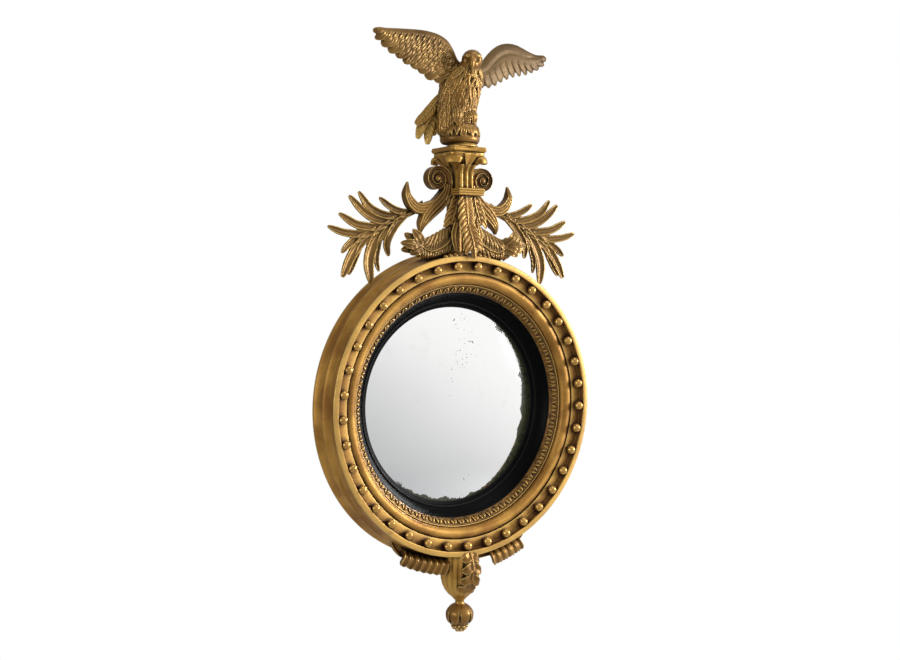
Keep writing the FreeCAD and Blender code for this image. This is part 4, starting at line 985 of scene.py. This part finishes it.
def makeBody(e):
    body = Carving()
    body.tube([np.array([bodyPoint(h, a, -1.5) for a in turnsOf(40)]) for h in np.linspace(12, 146, 24)])
    for row, h in enumerate(np.arange(124.0, 22.0, -e["rowGap"])):
        for i in range(e["locks"]):
            a = 2 * math.pi * (i + 0.5 * (row % 2)) / e["locks"] + draw.uniform(-0.08, 0.08)
            low = max(12.0, h - draw.uniform(28.0, 40.0) * np.interp(h, (96, 125), (1.0, 0.36)))
            sweep = np.interp(h, *zip(*e["sweep"])) * math.cos(a) + draw.uniform(-0.14, 0.14)
            body.blade((bodyPoint(h + 6, a - sweep * 0.3, -3.6),
                        bodyPoint((h + low) / 2, a + sweep * 0.4, -0.6),
                        bodyPoint(low, a + sweep, 0.0)), e["lockWidth"] * draw.uniform(0.8, 1.1),
                       e["lockThick"], "grooved", "scale", (math.cos(a), math.sin(a), 0.1), 12)
    for x, high, low, bow in e["breast"]:
        front = [bodyPoint(h, -math.pi / 2 - 0.12 + (x + bow * math.sin(h * 0.12)) / 36, 1.5)
                 for h in np.linspace(high, low, 6)]
        body.blade(front, 7.5, 6.0, "round", "scale", (-0.1, -1, 0), 24)
    head = np.array(e["head"]) + (0, 0, perch)
    face = unit(np.array(e["facing"]))
    side = unit(np.cross(face, (0, 0, 1)))
    up = np.cross(side, face)
    body.ball(head, e["headRadius"], (1.0, 1.0, 0.98))
    body.ball(head + face * 8 - up * 5, e["headRadius"] * 0.68)
    root = head + face * 15.0
    body.blade((root - face * 6 + up * 9, root + face * 3 + up * 3, root + face * 7 - up * 8,
                root + face * 4 - up * 24),
               13.0, 11.0, "round", "tapered", face + up * 0.4, 24)
    body.blade((root - up * 7, root + face * 1.5 - up * 13, root - up * 19), 10.0, 6.0,
               "round", "tapered", face, 12)
    for s in (-1, 1):
        body.blade((head + face * 17 + side * s * 4 + up * 7, head + face * 14.5 + side * s * 10 + up * 8,
                    head + face * 7 + side * s * 16.5 + up * 5), 7.0, 5.0, "round", "even", face, 12)

    def hollowEyes(points):
        for s in (-1, 1):
            eye = head + face * 15.5 + side * s * 9.5 + up * 0.5
            gap = np.linalg.norm(points - eye, axis=1)
            points = points + unit(head - points) * (np.exp(-(gap / 3.6) ** 2) * 3.2)[:, None]
        return points

    seat(body.piece("eagleBody", 0.9, 1, hollowEyes), giltCarving, "eagle_body")


def makeWing(name, w, node):
    lead = curveThrough([(x, 0, perch + h) for x, h in w["lead"]], 101)
    trail = curveThrough([(x, 0, perch + h) for x, h in w["trail"]], 101)
    span = np.linalg.norm(np.diff(lead, axis=0), axis=1).sum()

    def at(t, d, lift=0.0):                    # a share along the wing, millimetres from its leading edge
        k = min(max(t, 0.0), 1.0) * 100
        i = min(int(k), 99)
        first = lead[i] + (lead[i + 1] - lead[i]) * (k - i)
        last = trail[i] + (trail[i + 1] - trail[i]) * (k - i)
        f = d / np.linalg.norm(last - first)
        p = first + (last - first) * f
        crown = 5.0 * math.sin(math.pi * min(max(f, 0), 1))
        p[1] = eagle["wingDepth"] + eagle["wingSlope"] * p[0] - crown - lift
        return p

    def chord(t):
        k = min(int(max(t, 0.0) * 100), 100)
        return np.linalg.norm(trail[k] - lead[k])

    wing = Carving()
    share = np.r_[np.linspace(0, 0.9, 8), np.linspace(0.9, 0, 8)]
    wing.tube([np.array([at(t, f * chord(t), 3.2 if i < 8 else -2.5) for i, f in enumerate(share)])
               for t in np.linspace(0, 0.97, 40)])
    stops = np.linspace(0, 0.94, 12)
    smooth = tuple(max(4.0, min(w["smooth"], chord(t) * 0.5)) for t in stops)
    wing.blade([at(t, s * 0.45, 0.5) for t, s in zip(stops, smooth)], smooth, 9.0, "round", face=(0, -1, 0),
               count=60)
    for i in range(w["flights"] - 1, -1, -1):  # long feathers along the trailing edge
        t = 0.02 + 0.88 * i / (w["flights"] - 1)
        c = chord(t)
        begin = max(w["smooth"] * 0.5, c - w["flightLong"])
        sweep = 0.03 + 0.08 * t
        wide = min(span / w["flights"] * 1.3, c * 0.8)
        wing.blade((at(t - sweep, begin * 0.9, 0.0), at(t - sweep * 0.2, (begin + c) / 2, w["flightLift"]),
                    at(t + sweep * 0.5, c, 1.0)),
                   wide, w["flightThick"], "round", "scale", w["facing"], 20)
    wing.blade([at(t, 6.0, 0.8) for t in (0.76, 0.86, 0.94, 1.0)], 13.5, 6.5, "round", "bulb", count=24)
    for row, first in reversed(list(enumerate(w["rows"]))):  # short feathers, the upper over the lower
        t = 0.99 - (0.03 if row % 2 else 0.0)
        while t > 0.02:
            if first < chord(t) - w["scale"] * 0.75:
                lift = 3.6 - row * 0.3
                long = w["scale"] * draw.uniform(0.8, 1.2)
                wing.blade((at(t - 0.01, first - 3, lift - 1.6), at(t, first + long * 0.5, lift + 0.6),
                            at(t + 0.03, first + long, lift + 1.0)), w["spacing"] * 1.05, 4.6, "ridge",
                           "scale", (0, -1, -0.35), 10)
            t -= w["spacing"] / span * draw.uniform(0.85, 1.15)
    seat(wing.piece(name, 0.9, 1), w["finish"], node)


tail = {"width": 21.0, "thick": 4.2, "facing": (-0.45, -0.85, 0.2), "barbs": range(5, 24, 3),
        "feathers": (((-26, -24, 86), (-52, -17, 52), (-76, -14, 30)),
                     ((-24, -22, 84), (-56, -14, 40), (-71, -12, 4)),
                     ((-18, -20, 78), (-42, -13, 34), (-49, -11, -5)),
                     ((-12, -19, 72), (-30, -12, 40), (-36, -11, 12)))}


def makeTail(t):
    fan = Carving()
    for feather in t["feathers"]:
        line = [np.array((x, y, perch + h)) for x, y, h in feather]
        fan.blade(line, t["width"], t["thick"], "round", "leaflet", t["facing"], 30)
        path, along, side, out = frameAlong(line, 31, t["facing"])
        fan.blade(path[::6] + out[::6] * 2.4, 3.2, 3.0, "round", "tapered", t["facing"], 30)
        for k in t["barbs"]:                   # on each side of the quill
            for s in (-1, 1):
                fan.blade((path[k] + out[k] * 1.2,
                           path[k] + s * side[k] * 4 + along[k] * 5 + out[k] * 1.5,
                           path[k] + s * side[k] * 8.5 + along[k] * 9 + out[k] * 0.6),
                          3.4, 2.4, "round", "lobe", out[k], 7)
    seat(fan.piece("eagleTail", 0.7, 1), giltTail, "eagle_tail")


legs = {"bones": (((-17, -57, 66), (-20, -70, 40), (-19, -77, 18)),  # hip, knee, foot
                  ((9, -57, 60), (14, -68, 38), (15, -74, 20))),
        "thigh": (4.0, 19.0, 14.0, 10.0), "toes": (-9, 0, 9), "curls": 7,
        "tufts": ((-6, 66, 26), (-1, 60, 22), (3, 68, 30), (-11, 58, 24))}  # between the legs: x, top, foot


def makeLegs(b):
    pair = Carving()
    for bones in b["bones"]:
        hip, knee, foot = (np.array(p, float) + (0, 0, perch) for p in bones)
        middle = (hip + knee) / 2
        pair.blade((hip, middle + (0, -5, 0), knee, foot), b["thigh"], 12.0, "round", count=18)
        for spread in b["toes"]:
            pair.blade((foot + (0, 2, 6), foot + (spread * 0.6, -3, 0), foot + (spread, -3, -11)), 8.0, 7.0,
                       "round", "tapered", count=12)
        for k in range(b["curls"]):
            a = -math.pi * (0.1 + 0.8 * k / (b["curls"] - 1))
            offset = np.array((9 * math.cos(a), 7 * math.sin(a), 0))
            pair.blade((hip + offset * 0.8 + (0, 4, 4), middle + offset * 1.15 + (0, -5, 0),
                        knee + offset * 0.8 - (0, 0, 9)), 8.0, 6.0, "ridge", "petal",
                       (math.cos(a), math.sin(a), 0), 10)
    for x, high, low in b["tufts"]:
        pair.blade([(x, -62, perch + high), (x - 1, -75, perch + (high + low) / 2),
                    (x - 1, -77, perch + low)],
                   8.0, 6.0, "ridge", "scale", (0, -1, 0), 14)
    seat(pair.piece("eagleLegs", 0.7, 1), giltCarving, "eagle_legs")


rock = {"depth": -47.0, "foot": -5.0, "tufts": 30, "seed": 7,  # the outline's height and radius
        "outline": ((0, 33.0), (3, 36.0), (7, 37.4), (11, 37.0), (14, 34.5), (22, 33.0), (32, 29.0),
                    (40, 22.0), (47, 9.0))}


def makeRock(r):
    mound = Carving()
    axis = np.array((0, r["depth"], perch + r["foot"]))
    mound.tube([levelRing(axis + (0, 0, h), size) for h, size in r["outline"]])
    pick = random.Random(r["seed"])
    for i in range(r["tufts"]):                # tufts that run down from the bird's feet
        a = 2 * math.pi * i / r["tufts"] + pick.uniform(-0.06, 0.06)
        out = np.array((math.cos(a), math.sin(a), 0))
        low = pick.uniform(10, 17)
        mound.blade((axis + out * 12 + (0, 0, 42), axis + out * 31.5 + (0, 0, 30),
                     axis + out * 36.5 + (0, 0, low)),
                    pick.uniform(8, 13), 6.5, "grooved", "scale", out, 12)
    seat(mound.piece("rock", 0.95, 1), giltCarving, "rock_mound")


makeBody(eagle)
makeWing("leftWing", leftWing, "eagle_wing_left")
makeWing("rightWing", rightWing, "eagle_wing_right")
makeTail(tail)
makeLegs(legs)
makeRock(rock)
print("eagle carved")


# apron
apron = {"depth": -47.0, "cup": 37.0, "flutes": 17, "high": 75.0, "neck": 9.0, "bud": 39.0, "petals": 7,
         "petalWidth": 20.5, "berryBelow": 120.0, "berryRadius": 15.6, "grain": 2.5, "seed": 5}
# drop, share of the radius, depth of the flutes
cupOutline = ((-14, 0.95, 4.4), (9, 0.985, 4.8), (22, 1.0, 5.0), (34, 0.98, 5.0), (46, 0.9, 4.6),
              (56, 0.77, 3.8), (64, 0.6, 2.6), (71, 0.38, 1.2), (75, 0.3, 0.5))
neckOutline = ((0, 10.5), (1.2, 9.0), (3.0, 8.4), (5.0, 8.4), (7.0, 9.0), (9.0, 10.4))  # drop, radius
budOutline = ((0, 9.0), (0.12, 14.0), (0.36, 20.4), (0.62, 20.8), (0.8, 18.8), (0.93, 15.8))
petalLine = ((0.0, 8.5), (0.14, 16.5), (0.36, 22.6), (0.58, 23.4), (0.78, 21.8), (0.93, 18.6))
underLeaf = {"rib": ((4, -76, 16), (3, -86, -8), (0, -86, -32), (-3, -75, -52), (-4, -66, -62)),
             "width": 44.0,
             "look": {**leafLook, "lobes": 4, "lobeWidth": 19.0, "thick": 5.0, "lift": 2.5, "droop": 3.0,
                      "last": 0.76, "sweep": 0.3, "plate": 0.55, "ribWidth": 7.0}}
spray = {"from": 42.0, "to": 130.0, "lobes": 7, "width": 15.8, "thick": 11.5, "missing": {-1: 0, 1: 2},
         "rail": ((36, -1, 9.0), (70, -2, 11.0), (104, -3, 12.0), (128, -3, 15.0), (142, 5, 13.0),
                  (151, 17, 6.0))}             # x, height above the drum's edge, width


def makeCup(a):
    cup = Carving()
    flute = np.abs(np.sin(turnsOf(260) * a["flutes"] / 2)) ** 0.6
    cup.tube([levelRing((0, a["depth"], bottom - drop), a["cup"] * share - groove * (1 - flute), 260)
              for drop, share, groove in cupOutline])
    seat(cup.piece("apronCup", 0.85, 1, inFrontOf(-16.0)), giltLit, "apron_cup")


def makeUnderLeaf(u):
    leaf = Carving()
    acanthus(leaf, [(x, y, bottom + h) for x, y, h in u["rib"]], u["width"], u["look"])
    seat(leaf.piece("apronLeaf", 0.7, 1), giltCarving, "apron_leaf")


def makeSprays(s, depth):
    for side, name in ((-1, "Left"), (1, "Right")):
        row = Carving()
        for i in range(s["missing"][side], s["lobes"]):
            t = i / (s["lobes"] - 1)
            x = s["from"] + (s["to"] - 8 - s["from"]) * t
            root = np.array((side * (x - 3), depth, 4.0 - math.sqrt(ring["drum"] ** 2 - x ** 2)))
            bow = root + (side * (2 + 2 * t), -13, -9)
            low = root + (side * (6 + 3 * t), -14, -20 + 2 * t)
            tip = root + (side * (9 + 4 * t), -9, -28 + 3 * t)
            row.blade((root, bow, low, tip), s["width"], s["thick"], "hollow", "bulb",
                      (side * 0.1, -1, -0.2), 24)
        line = [(side * x, depth, -math.sqrt(ring["drum"] ** 2 - x ** 2) + h) for x, h, w in s["rail"]]
        row.blade(line, tuple(w for x, h, w in s["rail"]), 11.0, "hollow", count=50, sink=3.0)
        seat(row.piece("spray" + name, 0.8, 1), giltCarving, "apron_spray_" + name.lower())


def makeBud(a):
    neck = Carving()
    foot = bottom - a["high"]
    neck.tube([levelRing((0, a["depth"], foot - drop), r, 48) for drop, r in neckOutline])
    seat(neck.piece("finialNeck", 0.5, 1), giltLit, "finial_neck")
    bud = Carving()
    high = a["bud"]
    axis = np.array((0, a["depth"], foot - a["neck"]))
    bud.tube([levelRing(axis - (0, 0, high * f), r, 48) for f, r in budOutline])
    for i in range(a["petals"]):
        t = math.pi * 2 * (i + 0.15) / a["petals"]
        out = np.array((math.cos(t), math.sin(t), 0))
        bud.blade([axis + out * r - (0, 0, high * f) for f, r in petalLine], a["petalWidth"], 5.6,
                  "round", "petal", out, 26)
    seat(bud.piece("finialBud", 0.7, 1), giltCarving, "finial_bud")


def studTree():                                # small round grains spread over a core
    g = nodeTree("studded", [("Gap", "Float"), ("Grain", "Float"), ("Seed", "Int"),
                             ("Material", "Material")])
    core = g.given["Geometry"]
    points = g.add("GeometryNodeDistributePointsOnFaces", {"distribute_method": "POISSON"},
                   {"Mesh": core, "Distance Min": g.given["Gap"], "Density Max": 90000.0,
                    "Seed": g.given["Seed"]})
    grain = g.add("GeometryNodeMeshIcoSphere", {}, {"Radius": g.given["Grain"], "Subdivisions": 3})
    studs = g.add("GeometryNodeInstanceOnPoints", {}, {"Points": points, "Instance": grain})
    join = g.tree.nodes.new("GeometryNodeJoinGeometry")
    for part in (core, studs):
        g.tree.links.new(part.socket, join.inputs[0])
    return closeTree(g, Val(g, join.outputs[0]))


def makeBerry(a):
    core = Carving()
    core.ball((0, a["depth"], bottom - a["berryBelow"]), a["berryRadius"])
    berry = core.piece("finialBerry", 0.8, 0)
    useTree(berry, studTree(), Gap=a["grain"] * 1.75 * mm, Grain=a["grain"] * mm, Seed=a["seed"],
            Material=giltCarving)
    smoothShade(berry)
    seat(berry, giltCarving, "finial_berry")


makeCup(apron)
makeUnderLeaf(underLeaf)
makeSprays(spray, apron["depth"])
makeBud(apron)
makeBerry(apron)
print("apron carved")


# glass
glass = {"rise": 19.4, "overlap": 14.0, "thick": 3.5, "lip": 1.7, "sightDepth": -17.3}


def mirrorFinish(name, look):
    g = Finish(name)
    split = g.add("ShaderNodeSeparateXYZ", {}, {"Vector": g.place})
    x, z = split.output("X"), split.output("Z")
    # painted reflection and shade: the silver runs lighter towards the top right and darker towards the
    # bottom left, as the lamps fall on the glass
    paintedLightSlope = (x * 0.55 + z * 0.83 + g.noise(5.0, 3.0) * 0.05).between(-0.2, 0.17)
    haze = g.noise(24.0, 6.0, 0.7).between(0.55, 0.8)
    colour = g.mix(paintedLightSlope, look["shade"], look["silver"])
    colour = g.mix(haze * 0.18, colour, look["haze"])
    ragged = (g.noise(42.0, 5.0, 0.7) - 0.5) * 0.03
    edge = ((x * x + z * z) ** 0.5 + ragged + x.between(0.09, 0.17) * 0.016).between(0.1785, 0.1797)
    window = (x * 0.8 - z * 0.6).between(-0.02, 0.0)
    lost = edge * window
    veil = g.noise(150.0, 4.0, 0.75).between(0.4, 0.55)
    colour = g.mix(lost, colour, g.mix(veil, look["black"], look["green"]))
    spots = g.add("ShaderNodeTexVoronoi", {}, {"Vector": g.place, "Scale": look["spotScale"]})
    dots = 1.0 - spots.between(0.2, 0.3)
    here = None
    for px, pz, reach in look["foxing"]:
        near = (((x - px) ** 2.0 + (z - pz) ** 2.0) ** 0.5 + (g.noise(60.0, 3.0) - 0.5) * 0.02)
        near = 1.0 - near.between(reach * 0.3, reach)
        here = near if here is None else here.math("MAXIMUM", near)
    patchy = g.noise(90.0, 3.0, 0.7).between(0.5, 0.54)
    fox = here * patchy * dots
    colour = g.mix(fox, colour, look["black"])
    metal = 1.0 - (lost * 0.9).math("MAXIMUM", fox * 0.8)
    rough = haze * 0.06 + 0.03 + lost * 0.25
    return g.close(Base_Color=colour, Metallic=metal, Roughness=rough, Coat_Weight=0.3, Coat_Roughness=0.02)


mirrorLook = {"silver": rgb("F4F4F3"), "shade": rgb("B9BABB"), "haze": rgb("A8A9A6"),
              "black": rgb("17170F"), "green": rgb("3B4022"), "spotScale": 190.0,
              "foxing": ((0.033, 0.121, 0.034), (0.017, 0.155, 0.026), (0.024, 0.093, 0.032),
                         (-0.009, 0.058, 0.016), (-0.005, 0.022, 0.014), (0.029, -0.136, 0.016))}
silvered = mirrorFinish("silvered", mirrorLook)


def makeGlass(g):
    edge = ring["sight"] + g["overlap"]
    big = (edge ** 2 + g["rise"] ** 2) / (2 * g["rise"])

    def fall(r):                               # of the convex face behind its crown
        return big - math.sqrt(big ** 2 - r ** 2)

    radii = np.linspace(0.01, edge, 40)
    front = [(r, g["sightDepth"] + g["lip"] + fall(r) - fall(ring["sight"])) for r in radii]
    back = [(r, y + g["thick"]) for r, y in reversed(front)]
    return turnedPiece("glass", front + back, silvered, 100.0, segments=224, soften=0)


seat(makeGlass(glass), silvered, "mirror_glass", slot="silvered_glass")
print("glass set")


# carved band between the torus and the slip
band = {"leaves": 84, "middle": 217.0, "width": 12.5, "thick": 2.9, "foot": (-4.6, -46.0),
        "tip": (5.6, -54.0), "lift": (-0.6, -0.8)}


def bandProfile(r):
    outer = r["torusInner"] - 1.4
    inner = r["slipFront"]
    high = r["front"] + 24.5
    low = r["bandSeat"] - 2.6
    middle = ((outer + inner) / 2, (high + low) / 2 - 1.4)
    return profileOf((outer, r["bandSeat"]), (outer, high), (middle, (inner, low)), (inner, r["bandSeat"]))


def makeBand(b):
    base = turnedPiece("leafBand", bandProfile(ring), giltBand, b["middle"], soften=0.3)
    seat(base, giltBand, "leaf_band")
    unitLeaf = Carving()
    foot, tip, lift = (np.array(b[key]) for key in ("foot", "tip", "lift"))

    def on(t, across, rise=0.0):
        p = tip + (foot - tip) * t + lift * (rise + 1.6 * math.sin(math.pi * t))
        return (p[0], p[1], across)

    facing = (*lift, 0)
    unitLeaf.blade((on(0, 0), on(0.5, 0, 1.2), on(1, 0, 0.2)), b["width"] * 0.5, b["thick"], "ridge",
                   "lobe", facing, 7)
    for s in (-1, 1):
        unitLeaf.blade((on(0.1, s * 1.5), on(0.4, s * 4.0, 0.8), on(0.85, s * 5.6, 0.0)), b["width"] * 0.34,
                       b["thick"] * 0.8, "round", "lobe", facing, 6)
    leaves = asObject("bandLeaves", np.array(unitLeaf.verts) * mm, unitLeaf.faces)
    outwards(leaves.data)
    useTree(leaves, ringRow, Radius=b["middle"] * mm, Count=b["leaves"], Start=0.0, Material=giltBand)
    smoothShade(leaves, 60)
    seat(leaves, giltBand)


makeBand(band)
print("band carved")


# stage, light and camera
stage = {"floorBelow": 0.7, "floorSize": 14.0, "low": 0.3, "high": 1.04, "brightSide": (0.62, -0.66, 0.42),
         "floorGlow": 0.86, "floorWhite": 1.16, "near": 0.6, "far": 3.5, "softRoom": 0.3}


def seenRays(graph, kinds):                    # 1 for rays of any of these kinds
    path = graph.add("ShaderNodeLightPath")
    seen = path.output(kinds[0])
    for kind in kinds[1:]:
        seen = seen.math("MAXIMUM", path.output(kind))
    return seen


def makeFloor(s):
    low = cadBox[0].z - s["floorBelow"]
    half = s["floorSize"]
    corners = [(-half, -half, low), (half, -half, low), (half, half, low), (-half, half, low)]
    floor = asObject("floor", corners, [(0, 1, 2, 3)])
    g = Finish("paleFloor")
    dust = g.noise(3.0, 2.0)
    pale = g.mix(dust, (0.93, 0.93, 0.93), (0.95, 0.95, 0.95))
    plain = g.add("ShaderNodeBsdfPrincipled", {}, {"Base Color": pale, "Roughness": dust * 0.1 + 0.6})
    glow = g.add("ShaderNodeEmission", {}, {"Strength": s["floorWhite"]})
    seen = seenRays(g, ("Is Camera Ray", "Is Transmission Ray"))
    both = g.add("ShaderNodeMixShader", {}, [seen * s["floorGlow"], plain, glow])
    reach = g.add("ShaderNodeVectorMath", {"operation": "LENGTH"}, [g.place], "Value")
    clear = g.add("ShaderNodeBsdfTransparent")
    faded = g.add("ShaderNodeMixShader", {}, [reach.between(s["near"], s["far"]), both, clear])
    g.add("ShaderNodeOutputMaterial", {}, {"Surface": faded})
    floor.data.materials.append(g.material)


def makeRoom(s):
    world = bpy.context.scene.world or bpy.data.worlds.new("studio")
    bpy.context.scene.world = world
    world.use_nodes = True
    w = Graph(world.node_tree)
    w.tree.nodes.clear()
    toward = w.add("ShaderNodeTexCoord", out="Generated")
    facing = w.add("ShaderNodeVectorMath", {"operation": "DOT_PRODUCT"}, [toward, s["brightSide"]], "Value")
    room = facing.between(-0.7, 0.75) * (s["high"] - s["low"]) + s["low"]
    seen = seenRays(w, ("Is Camera Ray", "Is Transmission Ray"))
    mirrored = seenRays(w, ("Is Glossy Ray",))
    strength = seen + (1.0 - seen) * room * (mirrored * (1.0 - s["softRoom"]) + s["softRoom"])
    sky = w.add("ShaderNodeBackground", {}, {"Color": (1.0, 1.0, 1.0, 1.0), "Strength": strength})
    w.add("ShaderNodeOutputWorld", {}, {"Surface": sky})


def areaLamp(name, place, target, size, power):
    light = bpy.data.lights.new(name, "AREA")
    light.shape = "DISK"
    light.size = size
    light.energy = power
    lamp = bpy.data.objects.new(name, light)
    lamp.location = place
    lamp.rotation_euler = (Vector(target) - Vector(place)).to_track_quat("-Z", "Y").to_euler()
    bpy.context.scene.collection.objects.link(lamp)


lamps = {                                      # place, target, size in metres, watts
    "keyLamp": ((2.9, -1.7, 0.6), (0.0, 0.0, 0.1), 1.2, 136.0),
    "fillLamp": ((-3.2, -0.6, 0.5), (0.0, 0.0, 0.0), 1.2, 40.0),
    "topLamp": ((0.4, -1.0, 2.8), (0.0, 0.0, 0.2), 1.2, 16.0)}
makeFloor(stage)
makeRoom(stage)
for name, lamp in lamps.items():
    areaLamp(name, *lamp)
print("stage lit")

shot = {"place": (-1.2507, -1.9976, 0.2175), "back": (-0.53290, -0.84554, 0.03287), "lens": 49.6,
        "sensor": 36.0}
camera = bpy.data.objects.new("camera", bpy.data.cameras.new("camera"))
camera.data.lens = shot["lens"]
camera.data.sensor_width = shot["sensor"]
camera.location = shot["place"]
camera.rotation_euler = (-Vector(shot["back"])).to_track_quat("-Z", "Y").to_euler()
bpy.context.scene.collection.objects.link(camera)
bpy.context.scene.camera = camera
bpy.context.scene.view_settings.view_transform = "Standard"

# finishes of the pieces that stay as the frame brings them
plainPieces = {
    "backboard": pine, "glazing_pads": pine, "crest_dowels": pine, "backboard_screws": steel,
    "hanger_screws": steel, "strap_screws": steel, "crest_strap": iron, "apron_strap": iron}
for name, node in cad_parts.items():
    brassy = name.startswith(("hanger_plate", "d_ring"))
    for slotOf in node.material_slots:
        slotOf.material = plainPieces.get(name, brass if brassy else giltCarving)
print("plain pieces finished")
